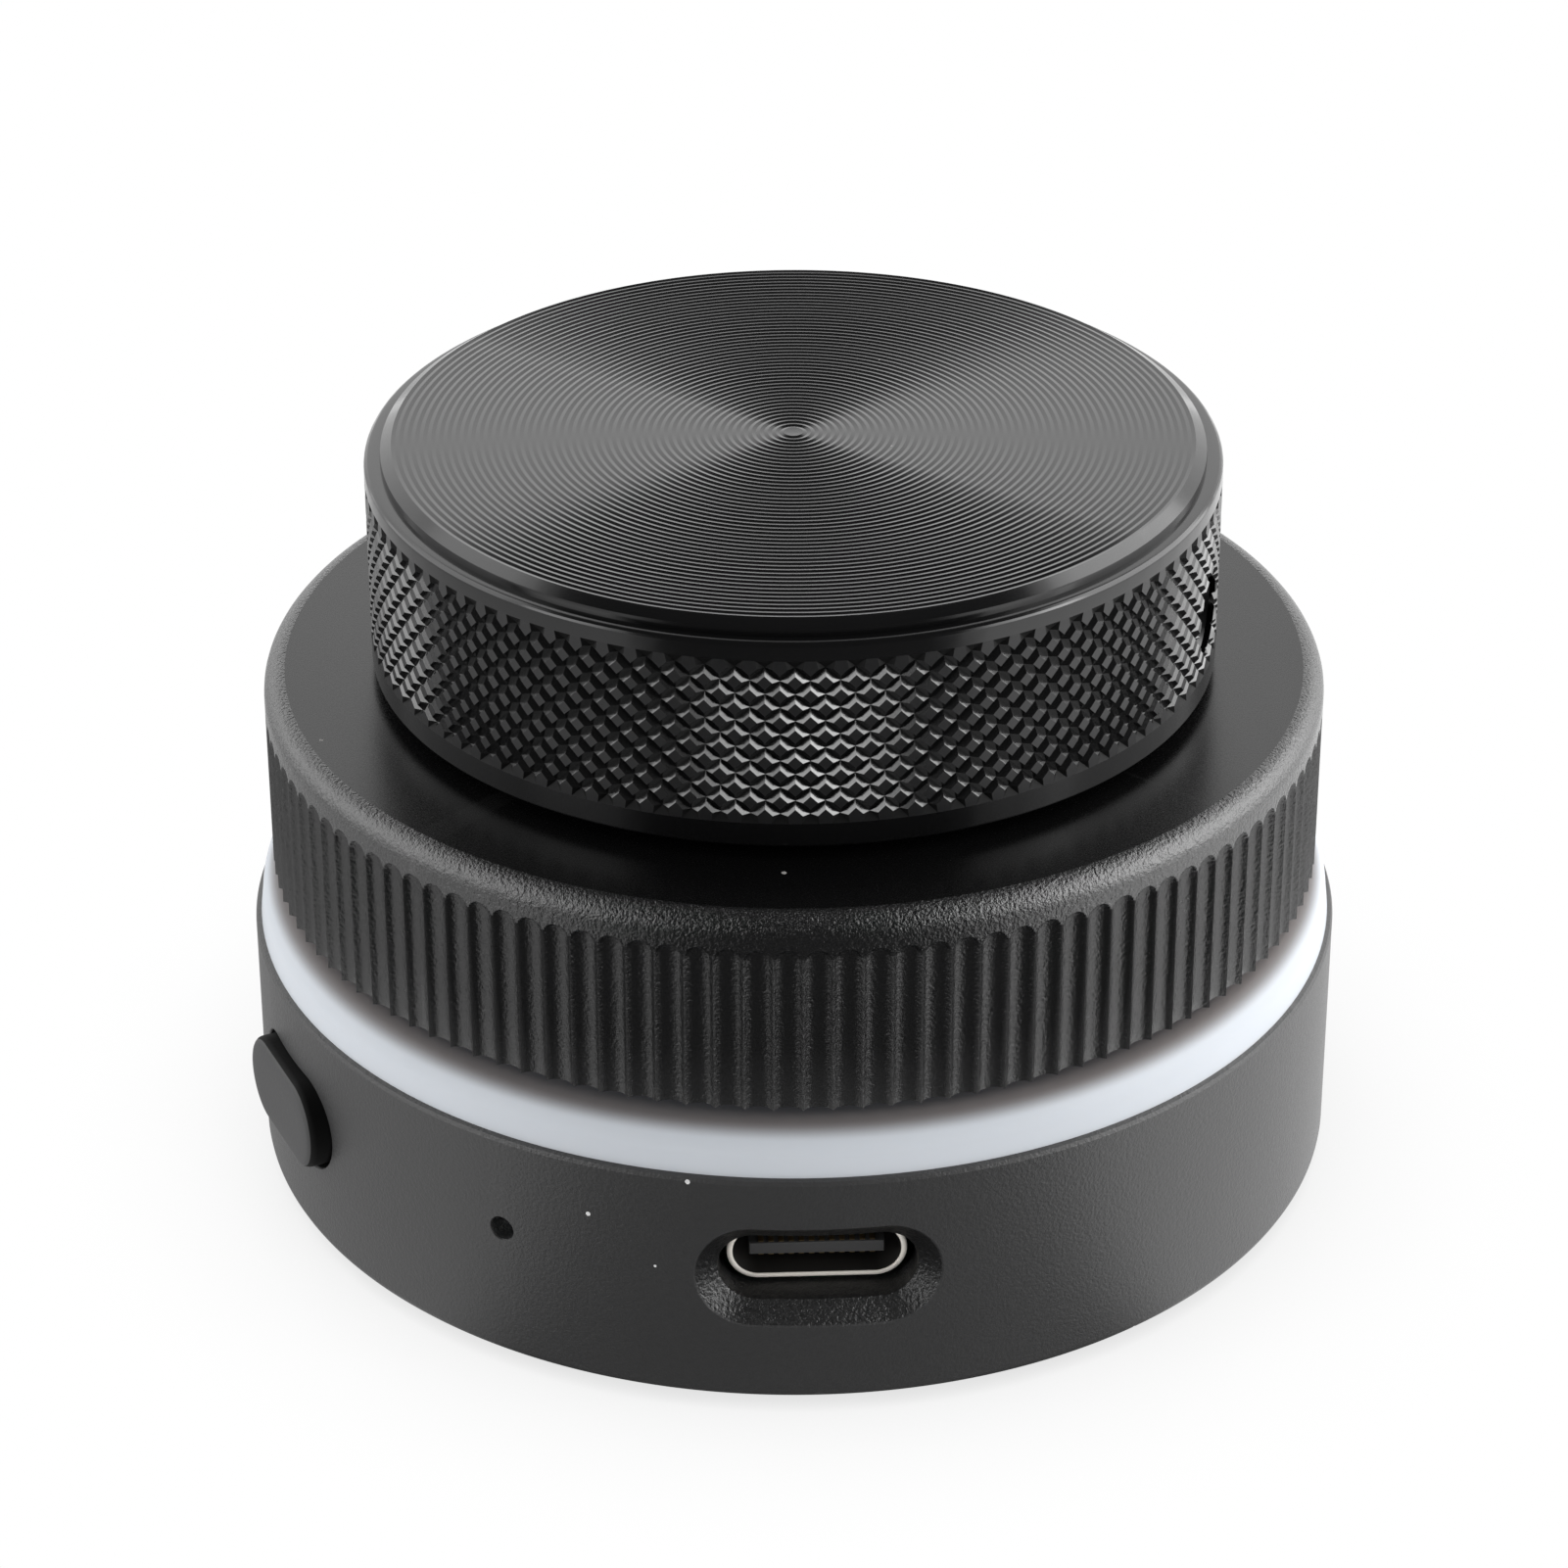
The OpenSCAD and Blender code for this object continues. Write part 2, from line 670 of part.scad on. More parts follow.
module detent_spring(z0) {
    color("#bfc3c7") tube(case_bore_r - fit_gap, outer_shaft_r + SPRING_ROOM, z0, z0 + SPRING_T);
}

module knob_detent_spring() {
    detent_spring(plate_z0 - SPRING_T);
}

module dial_detent_spring() {
    detent_spring(case_roof_z0 - SPRING_T);
}

module dial_disc() {
    color("#e4dfcf") tube(disc_r, outer_shaft_r + fit_gap, dial_disc_z0, dial_disc_z1);
}

module threaded_bushing() {
    color("#a9adb3") tube(bushing_r, outer_shaft_r + shaft_gap, case_z1, bushing_z1);
}

module lock_washer() {
    color("silver") tube(WASHER_D / 2, bushing_r + shaft_gap, turret_z1, washer_z1);
}

module panel_nut() {
    color("silver") difference() {
        translate([0, 0, washer_z1]) cylinder(r = nut_r, h = NUT_T, $fn = 6);
        rod(bushing_r + fit_gap, washer_z1 - CUT, washer_z1 + NUT_T + CUT);
    }
}

// ---------- Outer dial ----------

module dial_shaft() {
    color("#b4b8bd") difference() {
        union() {
            rod(outer_shaft_r, dial_disc_z0, dial_hub_z0);
            d_rod(outer_shaft_r, outer_flat, dial_hub_z0 - EPS, outer_shaft_z1);
        }
        rod(inner_shaft_r + shaft_gap, dial_disc_z0 - CUT, outer_shaft_z1 + CUT);
    }
}

module outer_dial() {
    color("#2d2c2e") difference() {
        union() {
            difference() {
                rotate_extrude()
                    rounded_top_section(0, dial_r, dial_z0, dial_z1, dial_round);
                rod(dial_in, dial_z0 - CUT, dial_top_z0);
            }
            rod(dial_hub_r, dial_hub_z0, dial_top_z0 + EPS);
            for (i = [0 : RIB_COUNT - 1]) facing(i * 360 / RIB_COUNT)
                slab(RIB_T, -dial_in - EPS, -dial_hub_r + HUB_WALL / 2,
                    dial_top_z0 - RIB_H, dial_top_z0 + EPS);
        }
        d_rod(outer_shaft_r + fit_gap, outer_flat + fit_gap, dial_hub_z0 - CUT, dial_z1 + CUT);
        dial_flutes();
    }
}

// Round grooves along the dial's side, which stop under its rounded edge
module dial_flutes() {
    flute_r = PI * dial_d / flute_count * FLUTE_SHARE;
    flute_z1 = dial_z1 - dial_round - FLUTE_BELOW_ROUND;
    for (i = [0 : flute_count - 1]) facing((i + 0.5) * 360 / flute_count)
        translate([0, -dial_r - flute_r + flute_depth, 0]) rod(flute_r, dial_z0 - CUT, flute_z1);
}

// ---------- Knob ----------

module knob_shaft() {
    color("#c3c7cb") facing(set_screw_angle) {
        d_rod(inner_shaft_r, inner_flat, inner_shaft_z0, lower_flat_z1);
        rod(inner_shaft_r, lower_flat_z1 - EPS, upper_flat_z0 + EPS);
        d_rod(inner_shaft_r, inner_flat, upper_flat_z0, inner_shaft_z1);
    }
}

// Outline of the knob: flat face, bright lip, ledge, plain band, side and rounded foot
module knob_section() {
    lip_r = face_r + LIP_W;
    lip_z = knob_z1 - LIP_DROP;
    ledge_z = lip_z - LEDGE_DROP;
    polygon([
        [0, knob_z0], [knob_r - KNOB_FOOT_BEVEL, knob_z0], [knob_r, knob_z0 + KNOB_FOOT_BEVEL],
        [knob_r, ledge_z - LEDGE_ROUND[1]], [knob_r - LEDGE_ROUND[0], ledge_z],
        [lip_r, ledge_z], [lip_r, lip_z], [face_r, knob_z1], [0, knob_z1]
    ]);
}

module knob_cap() {
    color("#17171a") difference() {
        rotate_extrude() knob_section();
        tube(knob_pocket_r, KNOB_HUB_R, knob_z0 - CUT, knob_pocket_z1);
        rod(KNOB_HUB_R + EPS, knob_z0 - CUT, knob_hub_z0);
        rod(inner_shaft_r + fit_gap, knob_z0 - CUT, inner_shaft_z1);
        facing(set_screw_angle) translate([0, -knob_r - CUT, set_screw_z]) rotate([-90, 0, 0])
            cylinder(r = SET_SCREW_HOLE_R, h = knob_r - KNOB_HUB_R + CUT + EPS);
        facing(set_screw_angle) translate([0, -KNOB_HUB_R - EPS, set_screw_z]) rotate([-90, 0, 0])
            cylinder(r = SET_SCREW_R + fit_gap, h = KNOB_HUB_R);
    }
}

module set_screw() {
    color("#2a2a2c") facing(set_screw_angle) translate([0, -inner_flat, set_screw_z])
        rotate([90, 0, 0]) difference() {
            cylinder(r = SET_SCREW_R, h = SET_SCREW_L);
            translate([0, 0, SET_SCREW_L - HEX_DEPTH])
                cylinder(r = HEX_KEY / 2 / cos(30), h = HEX_DEPTH + CUT, $fn = 6);
        }
}

// ---------- Nodes ----------

base_housing();
bottom_cover();
cover_screws();
rubber_foot();
main_board();
board_screws();
control_chip();
board_capacitors();
board_link();
usb_shell();
usb_tongue();
usb_contacts();
status_light();
switch_body();
switch_plunger();
side_button();
light_ring();
led_board();
ring_lights();
encoder_case();
encoder_terminals();
push_dome();
contact_plate();
knob_detent_spring();
dial_detent_spring();
knob_disc();
dial_disc();
threaded_bushing();
lock_washer();
panel_nut();
dial_shaft();
outer_dial();
knob_shaft();
knob_cap();
set_screw();
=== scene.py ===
# %% [markdown]
# # A desktop volume control: looks for a CAD assembly
# The CAD model already has every piece at its real size. Here we give the object its looks:
# fine surface detail such as the diamond knurl and the turned face, materials made of nodes,
# studio light, and a camera. Every new piece is placed in the same frame as the CAD parts:
# Z up, origin under the middle of the foot, and -Y towards the front, where the socket is.

import math

import bmesh
import bpy
from mathutils import Matrix, Vector


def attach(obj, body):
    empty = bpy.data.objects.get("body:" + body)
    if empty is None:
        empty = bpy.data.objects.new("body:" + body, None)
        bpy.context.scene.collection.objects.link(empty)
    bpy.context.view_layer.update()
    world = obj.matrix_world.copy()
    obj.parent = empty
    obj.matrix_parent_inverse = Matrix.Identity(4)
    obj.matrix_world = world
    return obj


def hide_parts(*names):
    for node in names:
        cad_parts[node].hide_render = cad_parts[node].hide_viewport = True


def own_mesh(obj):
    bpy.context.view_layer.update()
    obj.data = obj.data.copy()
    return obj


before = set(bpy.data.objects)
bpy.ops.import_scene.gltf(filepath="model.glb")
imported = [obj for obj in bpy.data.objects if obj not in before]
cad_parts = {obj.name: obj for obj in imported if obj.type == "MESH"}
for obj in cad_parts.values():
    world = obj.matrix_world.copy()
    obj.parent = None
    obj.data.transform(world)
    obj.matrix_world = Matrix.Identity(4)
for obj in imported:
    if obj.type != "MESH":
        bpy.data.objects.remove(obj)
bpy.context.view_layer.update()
print("CAD nodes:", len(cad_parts))

# %% [markdown]
# ## Units and small helpers
# The design is thought of in millimetres, as a machinist would, and Blender works in metres.
# A few helpers keep the later cells short. The first ones make lines of points and spin them,
# which is how a lathe works, and the next ones make rings of edges that grow along a line.

# %% Helpers for turned shapes
MM = 0.001
FULL_TURN = 2 * math.pi
QUARTER_TURN = math.pi / 2
UP = (0, 0, 1)
SAME_POINT = 2e-6


def metres(x, z, y=0.0):
    """A point given in millimetres, as a vector in metres."""
    return Vector((x * MM, y * MM, z * MM))


def tidy(bm):
    """Closes seams and turns every face outwards."""
    bmesh.ops.remove_doubles(bm, verts=bm.verts, dist=SAME_POINT)
    bmesh.ops.recalc_face_normals(bm, faces=bm.faces)


def add_line(bm, points, closed=False):
    """Joins (radius, height) points in millimetres by edges, and returns its points."""
    verts = [bm.verts.new(metres(r, z)) for r, z in points]
    for a, b in zip(verts, verts[1:]):
        bm.edges.new((a, b))
    if closed:
        bm.edges.new((verts[-1], verts[0]))
    return verts


def bevel(bm, geom, radius, steps, affect="EDGES", clamp=False):
    """Rounds edges or points by a radius in millimetres."""
    bmesh.ops.bevel(
        bm, geom=geom, offset=radius * MM, offset_type="OFFSET", segments=steps,
        profile=0.5, affect=affect, material=-1, clamp_overlap=clamp,
    )


def round_point(bm, vert, radius, steps):
    """Rounds one corner of a line."""
    bevel(bm, [vert], radius, steps, "VERTICES")


def turn(bm, steps):
    """Spins everything a full turn about the Z axis, and closes the seam."""
    bmesh.ops.spin(
        bm, geom=bm.verts[:] + bm.edges[:], cent=(0, 0, 0), axis=UP, dvec=(0, 0, 0),
        angle=FULL_TURN, steps=steps, use_merge=True, use_duplicate=False,
    )
    tidy(bm)


def repeat_round(bm, count):
    """Spins copies of everything round the Z axis, which share their seams."""
    bmesh.ops.spin(
        bm, geom=bm.verts[:] + bm.edges[:] + bm.faces[:], cent=(0, 0, 0), axis=UP,
        dvec=(0, 0, 0), angle=FULL_TURN * (count - 1) / count, steps=count - 1,
        use_duplicate=True,
    )
    tidy(bm)


def round_place(radius, angle, z):
    """A place on a round wall, at an angle from the front towards +X, in radians."""
    return Vector((radius * math.sin(angle), -radius * math.cos(angle), z))


def rotate(bm, verts, angle, axis):
    """Turns points about an axis through the origin, by an angle in radians."""
    bmesh.ops.rotate(bm, verts=verts, cent=(0, 0, 0), matrix=Matrix.Rotation(angle, 3, axis))


def add_block(bm, size, x, y, z):
    """Adds a block of a size along X, Y and Z, with its middle at a place in millimetres."""
    corners = bmesh.ops.create_cube(bm, size=MM)["verts"]
    bmesh.ops.scale(bm, verts=corners, vec=size)
    bmesh.ops.translate(bm, verts=corners, vec=metres(x, z, y))
    return corners


# %% [markdown]
# A fine pattern round a piece leaves a ring of open edges at its top and bottom. The rest of
# the piece grows from that ring: it is extruded again and again through the points of a line,
# so pattern and body are one closed skin, as they are on a real piece cut from one bar.

# %% Helpers that grow a ring
RING_TOLERANCE = 1e-5


def rim(bm, upper, level):
    """The open edges above or below a level in millimetres."""
    return [
        e for e in bm.edges
        if e.is_boundary and (e.verts[0].co.z > level * MM) == upper
    ]


def move_to(vert, r, z):
    """Moves a point straight in or out to a radius and a height in millimetres."""
    outward = Vector((vert.co.x, vert.co.y, 0)).normalized()
    vert.co = outward * r * MM + Vector((0, 0, z * MM))


def extrude_ring(bm, ring):
    """Extrudes a ring of edges in place, and returns its new points and the new ring."""
    made = bmesh.ops.extrude_edge_only(bm, edges=ring)["geom"]
    verts = [v for v in made if isinstance(v, bmesh.types.BMVert)]
    fresh = set(verts)
    new_ring = [
        e for e in made
        if isinstance(e, bmesh.types.BMEdge) and e.verts[0] in fresh and e.verts[1] in fresh
    ]
    return verts, new_ring


def grow(bm, ring, points):
    """Extrudes a ring of edges through (radius, height) points. Radius 0 closes it."""
    for r, z in points:
        verts, ring = extrude_ring(bm, ring)
        if r == 0:
            bmesh.ops.pointmerge(bm, verts=verts, merge_co=metres(0, z))
        else:
            for vert in verts:
                move_to(vert, r, z)


def round_ring(bm, r, z, radius, steps=4):
    """Rounds the edge that runs round the piece at a radius and a height."""
    ring = [
        e for e in bm.edges
        if all(
            abs(v.co.z - z * MM) < RING_TOLERANCE
            and abs(v.co.xy.length - r * MM) < RING_TOLERANCE
            for v in e.verts
        )
    ]
    bevel(bm, ring, radius, steps, clamp=True)


# %% [markdown]
# Sockets and buttons are stadium-shaped: two half circles with straight sides. A circle is
# pulled apart at its middle, and that ring is extruded through a row of sizes into a skin.

# %% Helpers for stadium shapes
STADIUM_STEPS = 40
FLAT_STEPS = 10


def wall_bend(x, wall_r):
    """How far a round wall falls back at a place beside its middle, in millimetres."""
    return wall_r - math.sqrt(wall_r ** 2 - x * x) if wall_r else 0.0


def add_stadium(bm, y, width, height, wall_r=None):
    """A stadium-shaped ring of edges at a place along Y. wall_r bends it along a round wall."""
    first_vert, first_edge = len(bm.verts), len(bm.edges)
    half_step = Matrix.Rotation(FULL_TURN / STADIUM_STEPS / 2, 4, "Z")
    bmesh.ops.create_circle(
        bm, segments=STADIUM_STEPS, radius=height / 2 * MM, matrix=half_step
    )
    for vert in bm.verts[first_vert:]:
        vert.co.x += math.copysign((width - height) / 2 * MM, vert.co.x)
    flats = [
        e for e in bm.edges[first_edge:] if e.verts[0].co.x * e.verts[1].co.x < 0
    ]
    bmesh.ops.subdivide_edges(bm, edges=flats, cuts=FLAT_STEPS)
    for vert in bm.verts[first_vert:]:
        x, z = vert.co.x / MM, vert.co.y / MM
        vert.co = metres(x, z, y + wall_bend(x, wall_r))
    return bm.edges[first_edge:]


def reshape(vert, old, y, width, height, wall_r=None):
    """Moves a point of a stadium ring to the same place on a ring of another size."""
    old_half, new_half = (old[0] - old[1]) / 2, (width - height) / 2
    middle = max(-old_half, min(old_half, vert.co.x / MM))
    growth = height / old[1]
    x = (vert.co.x / MM - middle) * growth
    if old_half:
        x += middle * new_half / old_half
    vert.co = metres(x, vert.co.z / MM * growth, y + wall_bend(x, wall_r))


def loft(sections):
    """A closed skin through stadium-shaped (y, width, height[, wall_r]) sections."""
    bm = bmesh.new()
    ring = add_stadium(bm, *sections[0])
    for old, new in zip(sections, sections[1:]):
        verts, ring = extrude_ring(bm, ring)
        for vert in verts:
            reshape(vert, old[1:3], *new)
    bmesh.ops.holes_fill(bm, edges=[e for e in bm.edges if e.is_boundary], sides=0)
    bm.normal_update()
    bmesh.ops.recalc_face_normals(bm, faces=bm.faces)
    return bm


def rounded_end(y, width, height, radius, steps=4):
    """Sections that round the front end of a stadium bar, from its side to its face."""
    sections = []
    for i in range(steps + 1):
        a = QUARTER_TURN * i / steps
        inset = 2 * radius * (1 - math.cos(a))
        sections.append((y + radius * (1 - math.sin(a)), width - inset, height - inset))
    return sections


def place(bm, angle, z):
    """Turns a shape that faces -Y to an angle round the object, and lifts it to a level."""
    rotate(bm, bm.verts, math.radians(angle), "Z")
    bmesh.ops.translate(bm, verts=bm.verts, vec=(0, 0, z * MM))


# %% [markdown]
# Holes and joined blocks are made by Boolean modifiers. The two shapes are put on helper
# objects for a moment, and the result is read back as one closed mesh.

# %% Helpers for carving and for finished pieces
def mesh_from(name, bm):
    """Turns a bmesh into a mesh, and frees it."""
    mesh = bpy.data.meshes.new(name)
    bm.to_mesh(mesh)
    bm.free()
    return mesh


def new_object(name, data):
    """Puts a new object with its data into the scene."""
    made = bpy.data.objects.new(name, data)
    bpy.context.scene.collection.objects.link(made)
    return made


def together(shapes):
    """Puts several closed shapes into one bmesh."""
    bm = bmesh.new()
    for shape in shapes:
        mesh = mesh_from("together", shape)
        bm.from_mesh(mesh)
        bpy.data.meshes.remove(mesh)
    return bm


def carve(bm, tool, operation="DIFFERENCE"):
    """Cuts a closed shape out of another, or joins it on, and returns the result."""
    holders = [new_object("carving", mesh_from("carving", shape)) for shape in (bm, tool)]
    modifier = holders[0].modifiers.new("carve", "BOOLEAN")
    modifier.object = holders[1]
    modifier.operation = operation
    modifier.solver = "EXACT"
    depsgraph = bpy.context.evaluated_depsgraph_get()
    carved = bpy.data.meshes.new_from_object(holders[0].evaluated_get(depsgraph))
    result = bmesh.new()
    result.from_mesh(carved)
    bpy.data.meshes.remove(carved)
    for holder in holders:
        mesh = holder.data
        bpy.data.objects.remove(holder)
        bpy.data.meshes.remove(mesh)
    return result


def piece_from(name, bm, body, node, sharp_deg=35):
    """Makes the object that stands for a CAD node, smooth up to an angle, on a body.

    Weighted normals keep the large flat faces evenly flat beside their rounded edges.
    """
    open_edges = sum(1 for e in bm.edges if not e.is_manifold)
    mesh = mesh_from(name, bm)
    mesh.shade_smooth()
    mesh.set_sharp_from_angle(angle=math.radians(sharp_deg))
    piece = new_object(name, mesh)
    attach(piece, body)
    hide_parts(node)
    even = piece.modifiers.new("even_normals", "WEIGHTED_NORMAL")
    even.keep_sharp = True
    print(f"{name}: {len(mesh.polygons)} faces, {open_edges} open edges")
    return piece


# %% [markdown]
# ## Camera
# The camera stands where the photographer's did: about 30 degrees above the horizon, 272 mm
# from the object, with a long lens. The object is turned a little, so the camera is turned the
# other way round it. No lens shift is needed, because the camera simply aims at the picture's
# middle.

# %% Camera
AIM_LEVEL = 13.6
CAMERA_DISTANCE = 271.6
CAMERA_ELEVATION = 30.44
CAMERA_PITCH = 29.33
CAMERA_YAW = -0.129
CAMERA_ROLL = -0.169
CAMERA_TURN = -2.4
FOCAL_PIXELS = 5215
PHOTO_PIXELS = 1601
SENSOR_MM = 36.0
NEAREST_M = 0.01
FARTHEST_M = 20


def camera_axes(yaw, pitch, roll):
    """Right, up and backward directions of a camera that looks along +Y when unturned."""
    forward = Vector((
        math.sin(yaw) * math.cos(pitch), math.cos(yaw) * math.cos(pitch), -math.sin(pitch)
    ))
    right = Vector((math.cos(yaw), -math.sin(yaw), 0))
    up = right.cross(forward)
    right_rolled = right * math.cos(roll) + up * math.sin(roll)
    up_rolled = up * math.cos(roll) - right * math.sin(roll)
    return right_rolled, up_rolled, -forward


def make_camera():
    """The photograph's camera, in the object's frame."""
    data = bpy.data.cameras.new("camera")
    data.sensor_width = SENSOR_MM
    data.lens = FOCAL_PIXELS / PHOTO_PIXELS * SENSOR_MM
    data.clip_start = NEAREST_M
    data.clip_end = FARTHEST_M
    elevation = math.radians(CAMERA_ELEVATION)
    stand = Vector((
        0, -math.cos(elevation) * CAMERA_DISTANCE, math.sin(elevation) * CAMERA_DISTANCE
    ))
    right, up, back = camera_axes(
        math.radians(CAMERA_YAW), math.radians(CAMERA_PITCH), math.radians(CAMERA_ROLL)
    )
    matrix = Matrix((right, up, back)).transposed().to_4x4()
    matrix.translation = (stand + Vector((0, 0, AIM_LEVEL))) * MM
    camera = new_object("camera", data)
    camera.matrix_world = Matrix.Rotation(math.radians(CAMERA_TURN), 4, "Z") @ matrix
    bpy.context.scene.camera = camera
    return camera


camera = make_camera()
print("lens:", round(camera.data.lens, 1), "mm")

# %% [markdown]
# ## Surface finishes as node groups
# Every finish on this object has the same few things in it: a fine grain, a slow change of
# tone, specks of dust, and edges that are rubbed a little paler. They are made once as a node
# group with named inputs, so each material only sets numbers. A second group makes the round
# lines that a lathe leaves. All of it reads Object coordinates, in metres, so a pattern keeps
# its size on every piece.

# %% Helpers for nodes
def add_node(tree, kind, inputs=None, **settings):
    """Adds a shader node with its options. Each input gets a value, or a link from a socket."""
    made = tree.nodes.new(kind)
    for name, value in settings.items():
        setattr(made, name, value)
    for key, value in (inputs or {}).items():
        if isinstance(value, bpy.types.NodeSocket):
            tree.links.new(value, made.inputs[key])
        else:
            made.inputs[key].default_value = value
    return made


def calculate(tree, operation, a, b=0.0, clamp=False):
    """A maths node of two values, each a socket or a number. Returns its output."""
    made = add_node(
        tree, "ShaderNodeMath", {0: a, 1: b}, operation=operation, use_clamp=clamp
    )
    return made.outputs[0]


def ramp(tree, value, start, end, low=0.0, high=1.0, kind="LINEAR"):
    """Maps a socket's range from start to end onto the range from low to high."""
    made = add_node(
        tree, "ShaderNodeMapRange",
        {"Value": value, "From Min": start, "From Max": end, "To Min": low, "To Max": high},
        interpolation_type=kind,
    )
    return made.outputs[0]


def blend_colours(tree, share, first, second):
    """Mixes two colours by a share socket."""
    made = add_node(
        tree, "ShaderNodeMix", {"Factor": share, 6: first, 7: second}, data_type="RGBA"
    )
    return made.outputs[2]


def own_place(tree):
    """Where a shaded point lies on its own object, in metres."""
    return add_node(tree, "ShaderNodeTexCoord").outputs["Object"]


def split(tree, vector):
    """The X, Y and Z sockets of a vector socket."""
    return add_node(tree, "ShaderNodeSeparateXYZ", {0: vector}).outputs


def new_group(name, inputs, outputs):
    """An empty shader node group with named sockets. Inputs are (name, kind, default)."""
    group = bpy.data.node_groups.new(name, "ShaderNodeTree")
    for title, kind, default in inputs:
        socket = group.interface.new_socket(title, in_out="INPUT", socket_type=kind)
        socket.default_value = default
    for title, kind in outputs:
        group.interface.new_socket(title, in_out="OUTPUT", socket_type=kind)
    entry = group.nodes.new("NodeGroupInput")
    leave = group.nodes.new("NodeGroupOutput")
    return group, entry.outputs, leave.inputs


# %% Finish group
FLOAT = "NodeSocketFloat"
COLOUR = "NodeSocketColor"
TONE_SCALE = 90
DUST_SCALE = 620
DUST_SIZE = 0.1
WEAR_START = 0.53
WEAR_END = 0.62
WEAR_CONSTANCY = 0.7
GRAIN_ROUGHENS = 0.5
TONE_ROUGHENS = 0.3
DUST_ROUGHENS = 0.5
FINISH_INPUTS = [
    ("Colour", COLOUR, (0.05, 0.05, 0.05, 1)),
    ("Worn Colour", COLOUR, (0.3, 0.3, 0.3, 1)),
    ("Dust Colour", COLOUR, (0.5, 0.49, 0.47, 1)),
    ("Roughness", FLOAT, 0.4),
    ("Grain Scale", FLOAT, 9000.0),
    ("Grain", FLOAT, 0.1),
    ("Tone", FLOAT, 0.15),
    ("Dust", FLOAT, 0.03),
    ("Wear", FLOAT, 0.3),
]


def centred_noise(group, inputs):
    """Noise that goes up and down about 0."""
    noise = add_node(group, "ShaderNodeTexNoise", inputs)
    return calculate(group, "SUBTRACT", noise.outputs[0], 0.5)


def dust_specks(group, where, amount):
    """A mask of small round specks, in a share of the cells of a Voronoi texture."""
    specks = add_node(group, "ShaderNodeTexVoronoi", {"Vector": where, "Scale": DUST_SCALE})
    cell = add_node(group, "ShaderNodeSeparateColor", {0: specks.outputs["Color"]})
    chosen = calculate(group, "LESS_THAN", cell.outputs[0], amount)
    size = calculate(group, "MULTIPLY", cell.outputs[1], DUST_SIZE)
    inside = calculate(group, "LESS_THAN", specks.outputs["Distance"], size)
    return calculate(group, "MULTIPLY", chosen, inside)


def rubbed_edges(group, tone, amount):
    """A mask of the edges, which Pointiness finds, patchy where the tone is dark."""
    shape = add_node(group, "ShaderNodeNewGeometry")
    edge = ramp(group, shape.outputs["Pointiness"], WEAR_START, WEAR_END)
    patchy = calculate(group, "ADD", tone, WEAR_CONSTANCY, clamp=True)
    wear = calculate(group, "MULTIPLY", edge, amount)
    return calculate(group, "MULTIPLY", wear, patchy, clamp=True)


def make_finish_group():
    """Grain, tone, dust and worn edges, as a colour, a roughness and a height."""
    group, given, result = new_group(
        "finish", FINISH_INPUTS, [("Colour", COLOUR), ("Roughness", FLOAT), ("Height", FLOAT)]
    )
    where = own_place(group)
    grain = centred_noise(
        group, {"Vector": where, "Scale": given["Grain Scale"], "Detail": 3.0, "Roughness": 0.6}
    )
    tone = centred_noise(group, {"Vector": where, "Scale": TONE_SCALE, "Detail": 4.0})
    dust = dust_specks(group, where, given["Dust"])
    wear = rubbed_edges(group, tone, given["Wear"])

    change = calculate(group, "MULTIPLY", tone, given["Tone"])
    fine = calculate(group, "MULTIPLY", grain, given["Grain"])
    level = calculate(group, "ADD", calculate(group, "ADD", change, fine), 1.0)
    toned = add_node(
        group, "ShaderNodeVectorMath", {0: given["Colour"], "Scale": level}, operation="SCALE"
    )
    worn = blend_colours(group, wear, toned.outputs[0], given["Worn Colour"])
    group.links.new(blend_colours(group, dust, worn, given["Dust Colour"]), result["Colour"])

    rough = given["Roughness"]
    for cause, share in ((fine, GRAIN_ROUGHENS), (change, TONE_ROUGHENS), (dust, DUST_ROUGHENS)):
        rougher = calculate(group, "MULTIPLY", cause, share)
        rough = calculate(group, "ADD", rough, rougher, clamp=cause is dust)
    group.links.new(rough, result["Roughness"])
    group.links.new(grain, result["Height"])
    return group


finish_group = make_finish_group()
print("inputs of the finish:", [title for title, kind, default in FINISH_INPUTS])

# %% [markdown]
# A turned surface shows fine rings round the lathe's axis. Their radius is the length of the
# flat part of the coordinates, and a sine of it makes the ridges. Slow noise makes some rings
# stronger than others, as chatter of the tool does.

# %% Turned lines group
def make_turned_group():
    """Rings round the Z axis, as a height and a roughness."""
    group, given, result = new_group(
        "turned_lines",
        [("Pitch", FLOAT, 0.0002), ("Roughness", FLOAT, 0.3), ("Spread", FLOAT, 0.1)],
        [("Height", FLOAT), ("Roughness", FLOAT)],
    )
    x, y, _ = split(group, own_place(group))
    flat = add_node(group, "ShaderNodeCombineXYZ", {0: x, 1: y})
    length = add_node(group, "ShaderNodeVectorMath", {0: flat.outputs[0]}, operation="LENGTH")
    turns = calculate(group, "DIVIDE", length.outputs["Value"], given["Pitch"])
    wave = calculate(group, "SINE", calculate(group, "MULTIPLY", turns, FULL_TURN))
    noise = add_node(
        group, "ShaderNodeTexNoise", {"W": turns, "Scale": 3.0}, noise_dimensions="1D"
    )
    chatter = noise.outputs[0]
    group.links.new(calculate(group, "MULTIPLY", wave, chatter), result["Height"])
    spread = calculate(group, "MULTIPLY", chatter, given["Spread"])
    group.links.new(calculate(group, "ADD", given["Roughness"], spread), result["Roughness"])
    return group


turned_group = make_turned_group()
print("node groups:", [g.name for g in bpy.data.node_groups if g.library is None])

# %% [markdown]
# One helper makes a material from the finish group. What light does at the surface, such as
# metallic, coat and bump, is set in the material itself.

